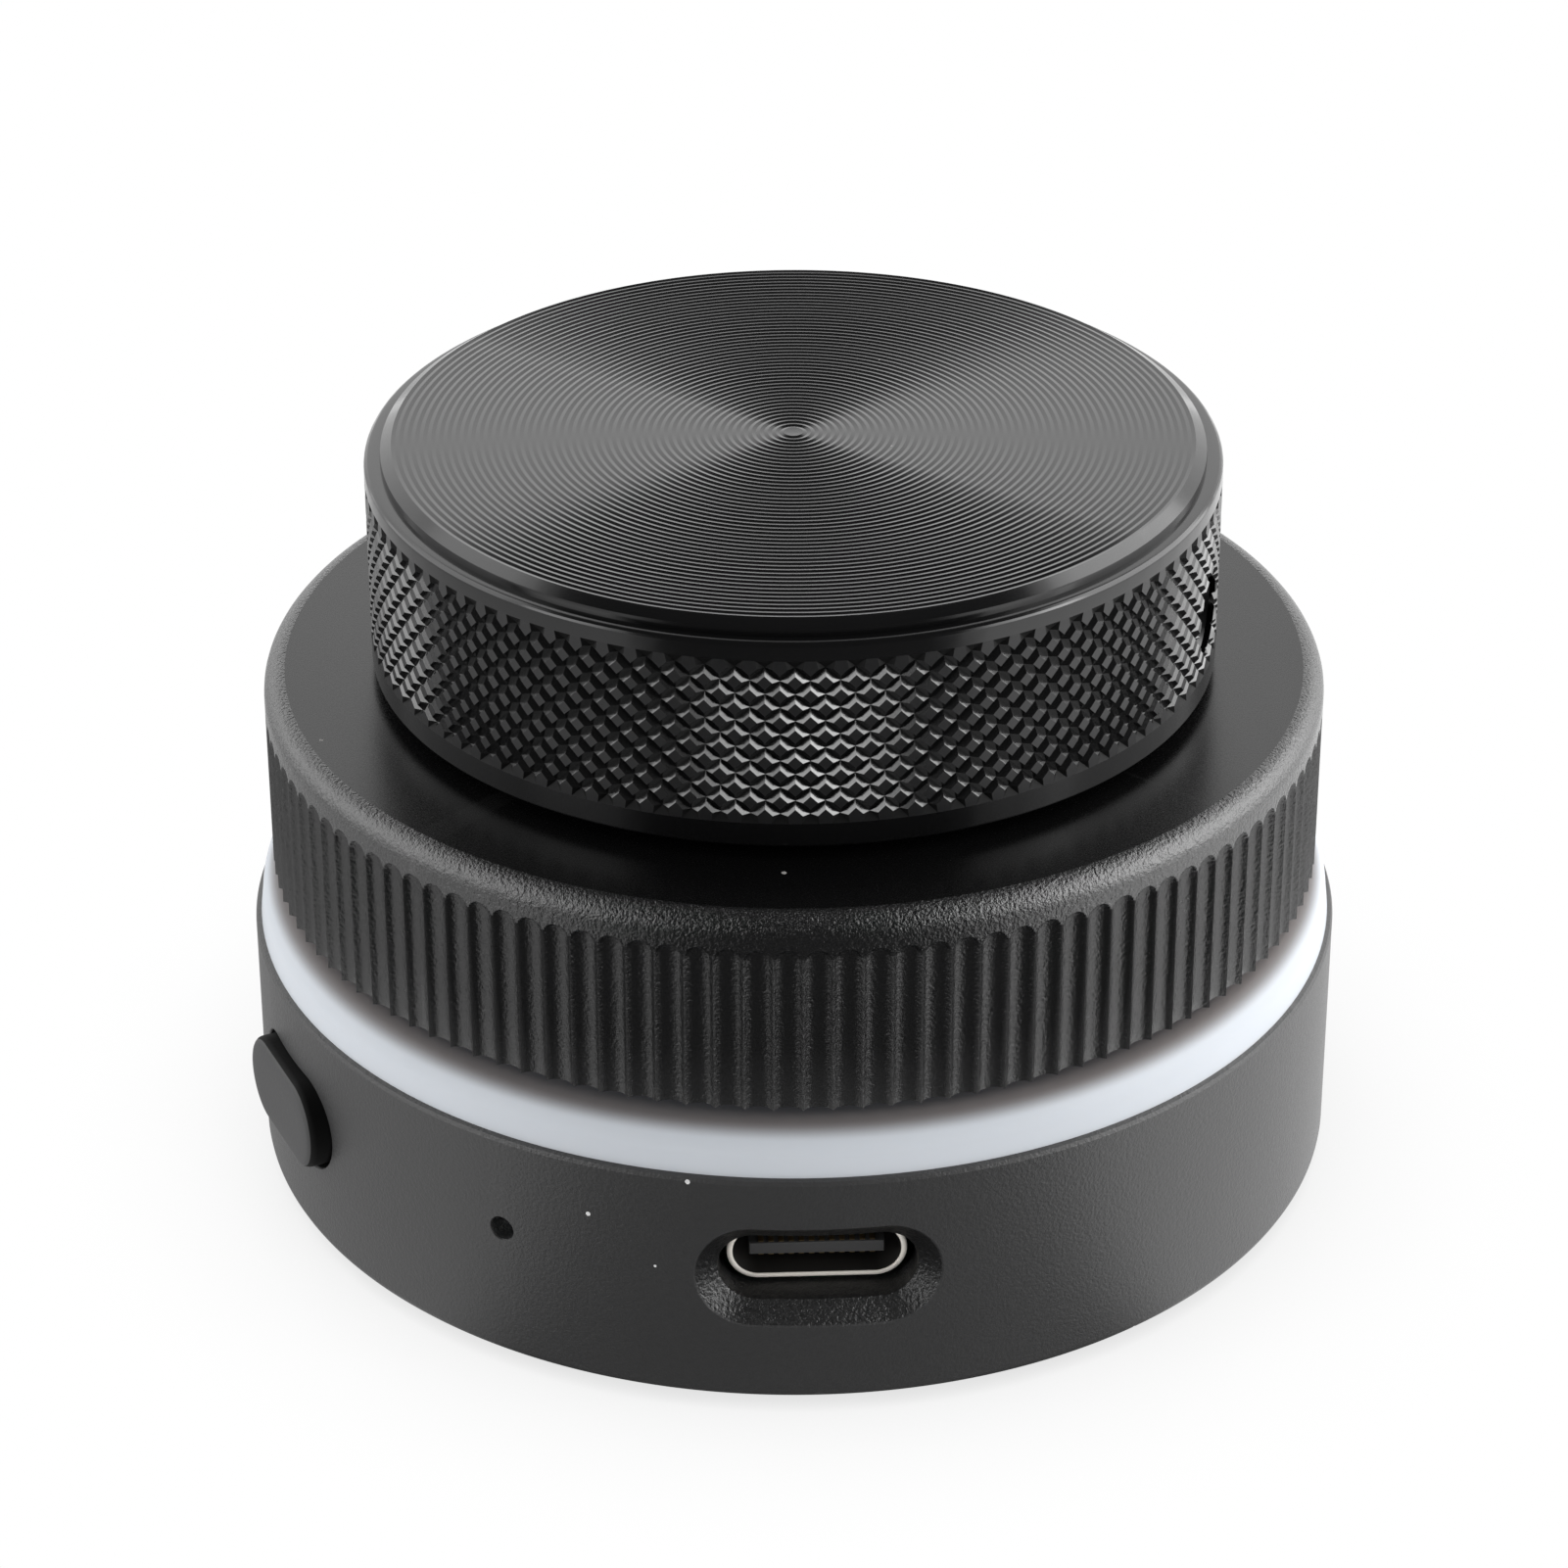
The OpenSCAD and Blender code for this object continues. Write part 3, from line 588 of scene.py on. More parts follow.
# %% Material helper
def grey(level):
    """A colour without any hue."""
    return (level, level, level, 1)


def grained(name, bump_mm=0.004, bump_strength=0.5, **values):
    """A material of the finish group. Each value goes to the group's input of its name.

    What the group has no input for goes to the shader's input of that name.
    """
    material = bpy.data.materials.new(name)
    material.use_nodes = True
    tree = material.node_tree
    shader = tree.nodes["Principled BSDF"]
    skin = add_node(tree, "ShaderNodeGroup", node_tree=finish_group)
    for key, value in values.items():
        title = key.replace("_", " ")
        target = skin if title in skin.inputs else shader
        target.inputs[title].default_value = value
    bump = add_node(tree, "ShaderNodeBump", {
        "Strength": bump_strength, "Distance": bump_mm * MM, "Height": skin.outputs["Height"],
    })
    tree.links.new(skin.outputs["Colour"], shader.inputs["Base Color"])
    tree.links.new(skin.outputs["Roughness"], shader.inputs["Roughness"])
    tree.links.new(bump.outputs["Normal"], shader.inputs["Normal"])
    return material


def tint(material, share, colour):
    """Blends a colour over a material's own one, by a share socket."""
    tree = material.node_tree
    base_colour = tree.nodes["Principled BSDF"].inputs["Base Color"]
    own_colour = base_colour.links[0].from_socket
    tree.links.new(blend_colours(tree, share, own_colour, colour), base_colour)


def dress(piece, *materials):
    """Gives a piece its materials, in the order of its faces' material numbers.

    Clearing the list would set every face's number back to 0, so its places are filled instead.
    """
    places = piece.data.materials
    for number, material in enumerate(materials):
        if number < len(places):
            places[number] = material
        else:
            places.append(material)
    print(f"{piece.name}: finished in", ", ".join(m.name for m in materials))


# %% [markdown]
# ## Diamond knurl
# A knurl is a field of small raised diamonds between two families of slanting V grooves. We
# lay it out flat, as the wheel would roll it: each diamond is a circle with four corners, its
# inset rim becomes the slopes, and its middle stands up to the knob's surface. At the top and
# bottom the grooves run out, so there the outermost diamonds are cut straight, and the inner
# corners of the cut are welded to the outer ones. The strip of one column is then wrapped and
# spun round the knob, as copies that share their seams.

# %% Diamond knurl
KNOB_R = 21.75
KNURL_TOP = 38.45
KNURL_BOTTOM = 29.64
KNURL_DEPTH = 0.27
KNURL_COUNT = 94
KNURL_ROW = 1.442
KNURL_CROSSING = 38.0
KNURL_PHASE = -2.23
PLATEAU_SHARE = 0.5
KNURL_WIDTH = FULL_TURN * KNOB_R / KNURL_COUNT
EXTRA_ROWS = 3
FINE_WELD = 1e-7
CUT_TOLERANCE = 1e-3
CORNER_REACH = 1.6
CORNER_TOLERANCE = 0.02


def add_diamond(bm, x, z):
    """One flat diamond of the lattice, with its middle at (x, z) in millimetres."""
    corners = bmesh.ops.create_circle(bm, cap_ends=True, segments=4, radius=MM / 2)["verts"]
    bmesh.ops.scale(bm, verts=corners, vec=(KNURL_WIDTH, KNURL_ROW, 1))
    rotate(bm, corners, QUARTER_TURN, "X")
    bmesh.ops.translate(bm, verts=corners, vec=metres(x, z))


def cut_level(bm, z, upper):
    """Cuts the flat strip straight at a level, and drops what is beyond it."""
    normal = (0, 0, 1 if upper else -1)
    bmesh.ops.bisect_plane(
        bm, geom=bm.verts[:] + bm.edges[:] + bm.faces[:], dist=FINE_WELD,
        plane_co=metres(0, z), plane_no=normal, clear_outer=True,
    )


def is_cut(vert):
    """Whether a point lies on the top or bottom cut."""
    z = vert.co.z / MM
    return min(abs(z - KNURL_TOP), abs(z - KNURL_BOTTOM)) < CUT_TOLERANCE


def raise_diamonds(bm):
    """Insets each diamond, lifts its middle, and closes the grooves at the two cuts."""
    full = [f for f in bm.faces if len(f.verts) > 3]
    width = KNURL_WIDTH / 2 * (1 - PLATEAU_SHARE) / math.sqrt(2) * MM
    outer = set(bm.verts)
    bmesh.ops.inset_individual(
        bm, faces=full, thickness=width, depth=0, use_even_offset=True
    )
    inner = [v for v in bm.verts if v not in outer]
    ends = [v for v in outer if is_cut(v)]
    targets = {}
    for vert in inner:
        near = [
            end for end in ends
            if (end.co - vert.co).length < width * CORNER_REACH
            and abs(abs(end.co.z - vert.co.z) - width) < width * CORNER_TOLERANCE
        ]
        if near:
            targets[vert] = min(near, key=lambda end: (end.co - vert.co).length)
    lifted = [v for v in inner if v not in targets] + ends
    bmesh.ops.translate(bm, verts=lifted, vec=(0, -KNURL_DEPTH * MM, 0))
    bmesh.ops.weld_verts(bm, targetmap=targets)


def wrap_strip(bm):
    """Wraps the flat strip round the knob: sideways becomes angle, depth becomes radius."""
    for vert in bm.verts:
        angle = vert.co.x / (KNOB_R * MM) + math.radians(KNURL_PHASE)
        radius = (KNOB_R - KNURL_DEPTH) * MM - vert.co.y
        vert.co = round_place(radius, angle, vert.co.z)


def make_knurl():
    """The knurled band as an open skin, from one strip of diamonds."""
    bm = bmesh.new()
    rows = int((KNURL_TOP - KNURL_BOTTOM) / KNURL_ROW) + EXTRA_ROWS
    for row in range(rows):
        level = KNURL_CROSSING + KNURL_ROW * (1 - row)
        add_diamond(bm, 0, level - KNURL_ROW / 2)
        add_diamond(bm, KNURL_WIDTH / 2, level)
    bmesh.ops.remove_doubles(bm, verts=bm.verts, dist=FINE_WELD)
    cut_level(bm, KNURL_TOP, True)
    cut_level(bm, KNURL_BOTTOM, False)
    bmesh.ops.remove_doubles(bm, verts=bm.verts, dist=FINE_WELD)
    raise_diamonds(bm)
    wrap_strip(bm)
    repeat_round(bm, KNURL_COUNT)
    return bm


# %% [markdown]
# ## Knob
# Above and below the knurl the knob is plain turned metal: a band, a narrow ledge, a bright
# upright lip, a bevel, and the face. The face has fine grooves, one beside the other, which
# the turning tool leaves. They are real geometry, because the light on such a record-like
# face comes from the slopes of its grooves. Below, the knob is hollow, with a hub for the
# shaft. A threaded hole for the set screw goes through the side.

# %% Knob and its face
KNOB_Z0 = 28.35
KNOB_Z1 = 40.1
KNOB_MIDDLE = 34.0
FACE_R = 20.34
LIP_R = 20.9
LIP_Z = 39.74
LEDGE_R = 20.93
LEDGE_Z = 39.36
BAND_ROUND = 0.3
KNOB_ROUND = 0.18
GROOVE_PITCH = 0.405
GROOVE_DEPTH = 0.045
GROOVE_END_R = 0.3
POCKET_R = 18.55
POCKET_TOP = 37.1
HUB_R = 8.0
HUB_Z0 = 28.9
SHAFT_R = 2.02


def face_points():
    """The grooved face from its rim to its middle: a ridge and a valley for each groove."""
    points = []
    r = FACE_R
    while r > GROOVE_END_R + GROOVE_PITCH:
        points.append((r, KNOB_Z1))
        points.append((r - GROOVE_PITCH / 2, KNOB_Z1 - GROOVE_DEPTH))
        r -= GROOVE_PITCH
    return points + [(r, KNOB_Z1), (0, KNOB_Z1 - GROOVE_DEPTH)]


# %% Set-screw hole
SCREW_ANGLE = 73
SCREW_Z = 32.6
SCREW_R = 2.02
SCREW_HOLE_R = 2.15
SCREW_MOUTH_R = 2.3
THREAD_PITCH = 0.7
THREAD_DEPTH = 0.16
THREAD_START = POCKET_R - 0.5
THREAD_END = KNOB_R - 0.2
PAST_METAL = 1
HOLE_STEPS = 48


def thread_points():
    """Ridges of the thread along the set-screw hole, as (radius, distance) points."""
    points = []
    y = THREAD_START
    while y + THREAD_PITCH < THREAD_END:
        points.append((SCREW_HOLE_R, y))
        points.append((SCREW_HOLE_R + THREAD_DEPTH, y + THREAD_PITCH / 2))
        y += THREAD_PITCH
    return points + [(SCREW_HOLE_R, y)]


def screw_hole():
    """The shape that the set-screw hole takes away, seen from the knob's axis outwards."""
    bm = bmesh.new()
    add_line(bm, [
        (0, SHAFT_R - PAST_METAL), (SCREW_R, SHAFT_R - PAST_METAL), (SCREW_R, HUB_R),
        (SCREW_HOLE_R, HUB_R), (SCREW_HOLE_R, POCKET_R - PAST_METAL), *thread_points(),
        (SCREW_MOUTH_R, KNOB_R), (SCREW_MOUTH_R, KNOB_R + PAST_METAL), (0, KNOB_R + PAST_METAL),
    ])
    turn(bm, HOLE_STEPS)
    rotate(bm, bm.verts, QUARTER_TURN, "X")
    place(bm, SCREW_ANGLE, SCREW_Z)
    return bm


# %% Knob in one piece
PLATEAU_TOLERANCE = 0.02


def finish_of(face):
    """Number of a face's material: 1 on flat tops, 2 on slopes, 3 where grooves run out."""
    middle = face.calc_center_median()
    in_band = KNURL_BOTTOM * MM < middle.z < KNURL_TOP * MM
    if not in_band or middle.xy.length < (KNOB_R - 2 * KNURL_DEPTH) * MM:
        return 0
    if all(v.co.xy.length > (KNOB_R - PLATEAU_TOLERANCE) * MM for v in face.verts):
        return 1
    return 3 if len(face.verts) == 3 else 2


def make_knob():
    """The whole knob, from its knurl up to the face and down into the hollow underside."""
    bm = make_knurl()
    top = rim(bm, True, KNOB_MIDDLE)
    bottom = rim(bm, False, KNOB_MIDDLE)
    grow(bm, top, [
        (KNOB_R, LEDGE_Z), (LEDGE_R, LEDGE_Z), (LIP_R, LIP_Z), *face_points(),
    ])
    grow(bm, bottom, [
        (KNOB_R, KNOB_Z0), (POCKET_R, KNOB_Z0), (POCKET_R, POCKET_TOP), (HUB_R, POCKET_TOP),
        (HUB_R, HUB_Z0), (SHAFT_R, HUB_Z0), (SHAFT_R, POCKET_TOP), (0, POCKET_TOP),
    ])
    tidy(bm)
    round_ring(bm, KNOB_R, LEDGE_Z, BAND_ROUND)
    round_ring(bm, KNOB_R, KNOB_Z0, KNOB_ROUND)
    bm = carve(bm, screw_hole())
    for face in bm.faces:
        face.material_index = finish_of(face)
    return piece_from("knob_cap_visual", bm, "knob", "knob_cap", sharp_deg=16)


knob = make_knob()

# %% [markdown]
# Polished and then anodised black, the knob is nearly a black mirror. The anodised layer is
# clear glass-like oxide with dye in it, so it is made as a dark non-metal with a smooth gloss.
# The tops of the diamonds were the bar's plain surface before knurling, and they have a satin
# finish that catches more light. The slopes, pressed by the wheel, are the brightest. Where the
# grooves run out, a duller, nearly black copy of the gloss is painted shade.

# %% Knob materials
BLACK = (0.004, 0.004, 0.0042, 1)
WORN_BLACK = grey(0.05)
PALE_DUST = (0.34, 0.33, 0.32, 1)
knob_gloss = grained(
    "knob_gloss", Colour=BLACK, Worn_Colour=WORN_BLACK, Dust_Colour=PALE_DUST, Roughness=0.15,
    Grain_Scale=14000.0, Grain=0.12, Tone=0.25, Dust=0.035, Wear=0.35, bump_mm=0.001,
    bump_strength=0.25, IOR=1.58,
)
knob_satin = grained(
    "knob_satin", Colour=(0.011, 0.011, 0.0115, 1), Worn_Colour=WORN_BLACK,
    Dust_Colour=PALE_DUST, Roughness=0.34, Grain_Scale=9000.0, Grain=0.5, Tone=0.4, Dust=0.03,
    Wear=0.4, bump_mm=0.006, bump_strength=0.6, IOR=1.5,
)
knob_cut = grained(
    "knob_cut", Colour=BLACK, Worn_Colour=WORN_BLACK, Dust_Colour=PALE_DUST, Roughness=0.2,
    Grain_Scale=12000.0, Grain=0.3, Tone=0.3, Dust=0.03, Wear=0.3, bump_mm=0.002,
    bump_strength=0.4, IOR=1.85,
)
# Painted shade: a duller, nearly black copy of the finish for the triangles where the grooves
# run out.
knob_runout_shaded = grained(
    "knob_runout_shaded", Colour=grey(0.003), Worn_Colour=grey(0.02), Dust_Colour=PALE_DUST,
    Roughness=0.6, Grain_Scale=12000.0, Grain=0.3, Tone=0.3, Dust=0.02, Wear=0.2, bump_mm=0.002,
    bump_strength=0.4, IOR=1.3,
)
dress(knob, knob_gloss, knob_satin, knob_cut, knob_runout_shaded)

# %% [markdown]
# ## Outer dial
# The dial is a turned cup whose side has rows of upright flutes. A flute is a groove cut by a
# round-nosed tool, so its upper end is an arch. One flute is shaped on a small flat grid,
# wrapped to the dial's radius, and spun round as copies. The top, the rounded edge and the
# inside grow from its rims.

# %% Flutes
DIAL_R = 27.4
DIAL_Z0 = 16.95
DIAL_Z1 = 27.65
DIAL_ROUND = 1.1
FLUTE_COUNT = 120
FLUTE_DEPTH = 0.38
FLUTE_TOP = 25.95
FLUTE_LAND = 0.12
FLUTE_ACROSS = 16
FLUTE_ROWS = 20
FLUTE_LONG_SHARE = 0.1
FLUTE_ARCH_SHARE = 0.9
FLUTE_PITCH = FULL_TURN * DIAL_R / FLUTE_COUNT
SIDE_TOP = DIAL_Z1 - DIAL_ROUND - 0.05


def flute_depth(x, z):
    """Depth of the groove at a place across it and a level, all in millimetres."""
    reach = (FLUTE_PITCH - FLUTE_LAND) / 2
    rise = max(0.0, z - (FLUTE_TOP - reach))
    away = math.hypot(x, rise) / reach
    return FLUTE_DEPTH * math.sqrt(max(0.0, 1 - away * away)) if away < 1 else 0.0


def flute_level(share):
    """Height of a grid row: few rows along the straight flute, and many in its arch."""
    arch_z0 = FLUTE_TOP - FLUTE_PITCH / 2
    if share < FLUTE_LONG_SHARE:
        return DIAL_Z0 + (arch_z0 - DIAL_Z0) * share / FLUTE_LONG_SHARE
    if share < FLUTE_ARCH_SHARE:
        along = (share - FLUTE_LONG_SHARE) / (FLUTE_ARCH_SHARE - FLUTE_LONG_SHARE)
        return arch_z0 + (FLUTE_TOP - arch_z0) * along
    above = (share - FLUTE_ARCH_SHARE) / (1 - FLUTE_ARCH_SHARE)
    return FLUTE_TOP + (SIDE_TOP - FLUTE_TOP) * above


def make_flutes():
    """All flutes of the dial's side as an open skin, from one grid."""
    bm = bmesh.new()
    bmesh.ops.create_grid(
        bm, x_segments=FLUTE_ACROSS, y_segments=FLUTE_ROWS, size=0.5,
        matrix=Matrix.Rotation(QUARTER_TURN, 4, "X"),
    )
    for vert in bm.verts:
        x = vert.co.x * FLUTE_PITCH
        z = flute_level(vert.co.z + 0.5)
        radius = DIAL_R - flute_depth(x, z)
        vert.co = round_place(radius, x / DIAL_R, z) * MM
    repeat_round(bm, FLUTE_COUNT)
    return bm


# %% Dial in one piece
DIAL_MIDDLE = 22.0
DIAL_WALL_IN = 25.2
DIAL_TOP_UNDER = 25.9
DIAL_HUB_R = 6.0
DIAL_HUB_Z0 = 18.87
DIAL_BORE_R = 3.02
TOP_TOLERANCE = 0.01
ARCH_TIP = 0.35
RIB_COUNT = 6
RIB_T = 1.2
RIB_H = 3.0
RIB_OVERLAP = 0.2
EDGE_STEPS = 8


def ribs():
    """The ribs under the dial's top, which join its hub to its wall."""
    bm = bmesh.new()
    length = DIAL_WALL_IN - DIAL_HUB_R + 2 * RIB_OVERLAP
    middle_y = -(DIAL_WALL_IN + DIAL_HUB_R) / 2
    middle_z = DIAL_TOP_UNDER - RIB_H / 2 + RIB_OVERLAP / 2
    for i in range(RIB_COUNT):
        rib = add_block(bm, (RIB_T, length, RIB_H + RIB_OVERLAP), 0, middle_y, middle_z)
        rotate(bm, rib, FULL_TURN * i / RIB_COUNT, "Z")
    return bm


def dial_finish(level):
    """Number of the material at a level: 1 on the flat top, 2 on its sandy edge, else 0."""
    if level > DIAL_Z1 - TOP_TOLERANCE:
        return 1
    return 2 if level > FLUTE_TOP - ARCH_TIP else 0


def make_dial():
    """The whole dial, from its fluted side to its hub."""
    bm = make_flutes()
    top = rim(bm, True, DIAL_MIDDLE)
    bottom = rim(bm, False, DIAL_MIDDLE)
    grow(bm, top, [(DIAL_R, DIAL_Z1), (DIAL_BORE_R, DIAL_Z1)])
    grow(bm, bottom, [
        (DIAL_WALL_IN, DIAL_Z0), (DIAL_WALL_IN, DIAL_TOP_UNDER), (DIAL_HUB_R, DIAL_TOP_UNDER),
        (DIAL_HUB_R, DIAL_HUB_Z0), (DIAL_BORE_R, DIAL_HUB_Z0), (DIAL_BORE_R, DIAL_Z1),
    ])
    tidy(bm)
    round_ring(bm, DIAL_R, DIAL_Z1, DIAL_ROUND, EDGE_STEPS)
    bm = carve(bm, ribs(), "UNION")
    for face in bm.faces:
        face.material_index = dial_finish(face.calc_center_median().z / MM)
    return piece_from(
        "outer_dial_visual", bm, "dial", "outer_dial", sharp_deg=28
    )


dial = make_dial()

# %% [markdown]
# The flat top was turned with a fine feed and stays smooth and black. The rounded edge, down to
# the tips of the flutes, was blasted, so it looks sandy and catches the light in many grains.
# Both are anodised like the satin side, and each gets its own values of the same finish.

# %% Dial materials
dial_satin = grained(
    "dial_satin", Colour=(0.007, 0.007, 0.0072, 1), Worn_Colour=grey(0.09),
    Dust_Colour=PALE_DUST, Roughness=0.22, Grain_Scale=5500.0, Grain=0.35, Tone=0.3, Dust=0.03,
    Wear=0.35, bump_mm=0.06, bump_strength=1.0, IOR=1.7,
)
dial_top = grained(
    "dial_top", Colour=(0.002, 0.002, 0.0021, 1), Worn_Colour=grey(0.06), Dust_Colour=PALE_DUST,
    Roughness=0.27, Grain_Scale=8000.0, Grain=0.3, Tone=0.2, Dust=0.12, Wear=0.1, bump_mm=0.006,
    bump_strength=0.4, IOR=1.46,
)
dial_edge = grained(
    "dial_edge", Colour=(0.005, 0.005, 0.0052, 1), Worn_Colour=grey(0.09), Dust_Colour=PALE_DUST,
    Roughness=0.24, Grain_Scale=5000.0, Grain=0.4, Tone=0.3, Dust=0.03, Wear=0.2, bump_mm=0.09,
    bump_strength=1.0, IOR=1.85,
)
dress(dial, dial_satin, dial_top, dial_edge)

# %% [markdown]
# ## Light ring
# A milky plastic ring sits on the base and is lit from inside. It has a nearly upright foot and
# a rounded shoulder, which is again one turned line with one rounded corner. Milky plastic
# scatters light under its skin, so its material has subsurface scattering, and a faint bluish
# glow stands for the lights below. Towards its top edge, close under the dark dial, its colour
# is painted dimmer and brownish with the height: painted shade of the dial's shadow and
# reflection.

# %% Light ring
BASE_Z1 = 13.6
RING_R = 28.2
RING_Z1 = 16.3
RING_IN = 22.5
RING_ROUND = 1.65
RING_BOTTOM = 13.0
RING_STEPS = 240
LEAN_Z = 14.6
LEAN_INSET = 0.12
TOP_INSET = 0.16
SPIGOT_R = 25.6
CHANNEL_OUT = 25.1
CHANNEL_IN = 23.5
CHANNEL_TOP = 14.4


def make_light_ring():
    """The translucent ring between base and dial."""
    bm = bmesh.new()
    verts = add_line(bm, [
        (RING_R, BASE_Z1), (RING_R - LEAN_INSET, LEAN_Z), (RING_R - TOP_INSET, RING_Z1),
        (RING_IN, RING_Z1), (RING_IN, RING_BOTTOM), (CHANNEL_IN, RING_BOTTOM),
        (CHANNEL_IN, CHANNEL_TOP), (CHANNEL_OUT, CHANNEL_TOP), (CHANNEL_OUT, RING_BOTTOM),
        (SPIGOT_R, RING_BOTTOM), (SPIGOT_R, BASE_Z1),
    ], closed=True)
    round_point(bm, verts[2], RING_ROUND, 10)
    turn(bm, RING_STEPS)
    return piece_from(
        "light_ring_visual", bm, "base", "light_ring", sharp_deg=30
    )


light_ring = make_light_ring()
ring_milky = grained(
    "ring_milky", Colour=(0.5, 0.525, 0.56, 1), Worn_Colour=(0.8, 0.82, 0.85, 1),
    Dust_Colour=(0.5, 0.48, 0.45, 1), Roughness=0.35, Grain_Scale=1500.0, Grain=0.02, Tone=0.05,
    Dust=0.015, Wear=0.0, bump_mm=0.003, bump_strength=0.15, IOR=1.49, Specular_IOR_Level=0.15,
    Subsurface_Weight=0.15, Subsurface_Radius=(0.0005, 0.0006, 0.0007), Subsurface_Scale=1.0,
    Emission_Color=(0.62, 0.72, 0.85, 1), Emission_Strength=0.02,
)
# Painted shade under the dial: the heights in millimetres where it starts and where it is full,
# and its colour.
SHADE_FROM, SHADE_TO = 15.45, 16.15
SHADE_COLOUR = (0.14, 0.125, 0.12, 1)


def paint_shade_under_dial(material):
    """Paints shade on the ring towards its top edge, where the dial's shadow and reflection
    fall.
    """
    tree = material.node_tree
    height = split(tree, own_place(tree))[2]
    share = ramp(tree, height, SHADE_FROM * MM, SHADE_TO * MM, kind="SMOOTHSTEP")
    tint(material, share, SHADE_COLOUR)


paint_shade_under_dial(ring_milky)
dress(light_ring, ring_milky)

# %% [markdown]
# ## Base
# The base is one turned part: a wall with a fine bevel at its top and a rounded bottom edge,
# a deck inside, and a turret that carries the encoder. Posts for the screws hang from the
# deck. The openings are cut afterwards. The socket's opening has a wide bevel, cut by a form
# tool that follows the round wall, so its cutter is bent to the wall's radius.

# %% Base
BASE_R = 28.5
BASE_Z0 = 0.7
WALL_IN = 25.7
BASE_BEVEL = 0.3
BASE_ROUND = 0.5
DECK_Z0 = 10.9
DECK_Z1 = 12.2
TURRET_R = 10.985
TURRET_POCKET_R = 9.485
TURRET_Z0 = 12.8
TURRET_Z1 = 14.4
BUSHING_R = 4.55
COVER_STEP_R = 26.5
COVER_Z1 = 2.2
BOARD_Z1 = 6.27
POST_R = 2.2
POST_HOLE_R = 1.02
POST_HOLE_TOP = 10.07
POST_OVERLAP = 0.3
POST_STEPS = 32
POSTS = [(30, 21.0), (150, 21.0), (270, 21.0), (90, 14.0), (210, 14.0), (330, 14.0)]
BASE_STEPS = 720


def turned_base():
    """The base as it comes from the lathe."""
    bm = bmesh.new()
    verts = add_line(bm, [
        (COVER_STEP_R, BASE_Z0), (BASE_R, BASE_Z0), (BASE_R, BASE_Z1), (WALL_IN, BASE_Z1),
        (WALL_IN, DECK_Z1), (TURRET_R, DECK_Z1), (TURRET_R, TURRET_Z1),
        (BUSHING_R, TURRET_Z1), (BUSHING_R, TURRET_Z0), (TURRET_POCKET_R, TURRET_Z0),
        (TURRET_POCKET_R, DECK_Z0), (WALL_IN, DECK_Z0), (WALL_IN, COVER_Z1),
        (COVER_STEP_R, COVER_Z1),
    ], closed=True)
    round_point(bm, verts[1], BASE_ROUND, 5)
    round_point(bm, verts[2], BASE_BEVEL, 2)
    turn(bm, BASE_STEPS)
    return bm


def post(angle, orbit):
    """A screw post under the deck."""
    bm = bmesh.new()
    top = DECK_Z0 + POST_OVERLAP
    add_line(bm, [
        (POST_HOLE_R, BOARD_Z1), (POST_R, BOARD_Z1), (POST_R, top), (0, top),
        (0, POST_HOLE_TOP), (POST_HOLE_R, POST_HOLE_TOP),
    ], closed=True)
    turn(bm, POST_STEPS)
    bmesh.ops.translate(bm, verts=bm.verts, vec=metres(0, 0, -orbit))
    place(bm, angle, 0)
    return bm


# %% Openings of the base
LINK_SIZE = (6.6, 2.8)
LINK_Y = 19.5
PORT_Z = 7.9
PORT_OUTER = (12.13, 5.65)
PORT_INNER = (9.8, 3.65)
PORT_BEVEL_DEPTH = 1.1
PORT_EDGE = 0.12
HOLE_END = 23.7
PINHOLE_ANGLE = -33
PINHOLE_Z = 8.2
PINHOLE_R = 0.65
PINHOLE_EDGE = 0.05
PINHOLE_EDGE_DEPTH = 0.08
BUTTON_ANGLE = -68
BUTTON_Z = 7.6
BUTTON_HOLE = (9.5, 5.2)
BUTTON_EDGE = 0.08
CUTTER_START = -BASE_R - 1.5
CUTTER_BEND = -BASE_R - 0.02


def port_cutter():
    """The socket's opening: a wide bevel along the round wall, and a straight hole."""
    flared = [size + 2 * PORT_EDGE for size in PORT_OUTER]
    narrowed = [size + PORT_EDGE for size in PORT_INNER]
    bevel_end = -BASE_R + PORT_BEVEL_DEPTH
    bm = loft([
        (CUTTER_START, *flared),
        (CUTTER_BEND, *flared, BASE_R),
        (-BASE_R + PORT_EDGE / 2, *PORT_OUTER, BASE_R),
        (bevel_end - PORT_EDGE, *narrowed, BASE_R),
        (bevel_end + PORT_EDGE, *PORT_INNER, BASE_R),
        (-HOLE_END, *PORT_INNER),
    ])
    place(bm, 0, PORT_Z)
    return bm


def button_cutter():
    """The opening for the side button."""
    flared = [size + 2 * BUTTON_EDGE for size in BUTTON_HOLE]
    bm = loft([
        (CUTTER_START, *flared), (CUTTER_BEND, *flared, BASE_R),
        (-BASE_R + BUTTON_EDGE, *BUTTON_HOLE, BASE_R), (-HOLE_END, *BUTTON_HOLE),
    ])
    place(bm, BUTTON_ANGLE, BUTTON_Z)
    return bm


def pinhole_cutter():
    """The small round hole of the status light."""
    wide = [2 * (PINHOLE_R + PINHOLE_EDGE)] * 2
    narrow = [2 * PINHOLE_R] * 2
    bm = loft([
        (-BASE_R - PAST_METAL, *wide), (-BASE_R, *wide),
        (-BASE_R + PINHOLE_EDGE_DEPTH, *narrow), (-WALL_IN + PAST_METAL, *narrow),
    ])
    place(bm, PINHOLE_ANGLE, PINHOLE_Z)
    return bm


def link_cutter():
    """The slot in the deck for the header between the boards."""
    bm = bmesh.new()
    size = (*LINK_SIZE, DECK_Z1 - DECK_Z0 + PAST_METAL)
    add_block(bm, size, 0, LINK_Y, (DECK_Z0 + DECK_Z1) / 2)
    return bm


# %% Base in one piece
PORT_TOLERANCE = 0.01


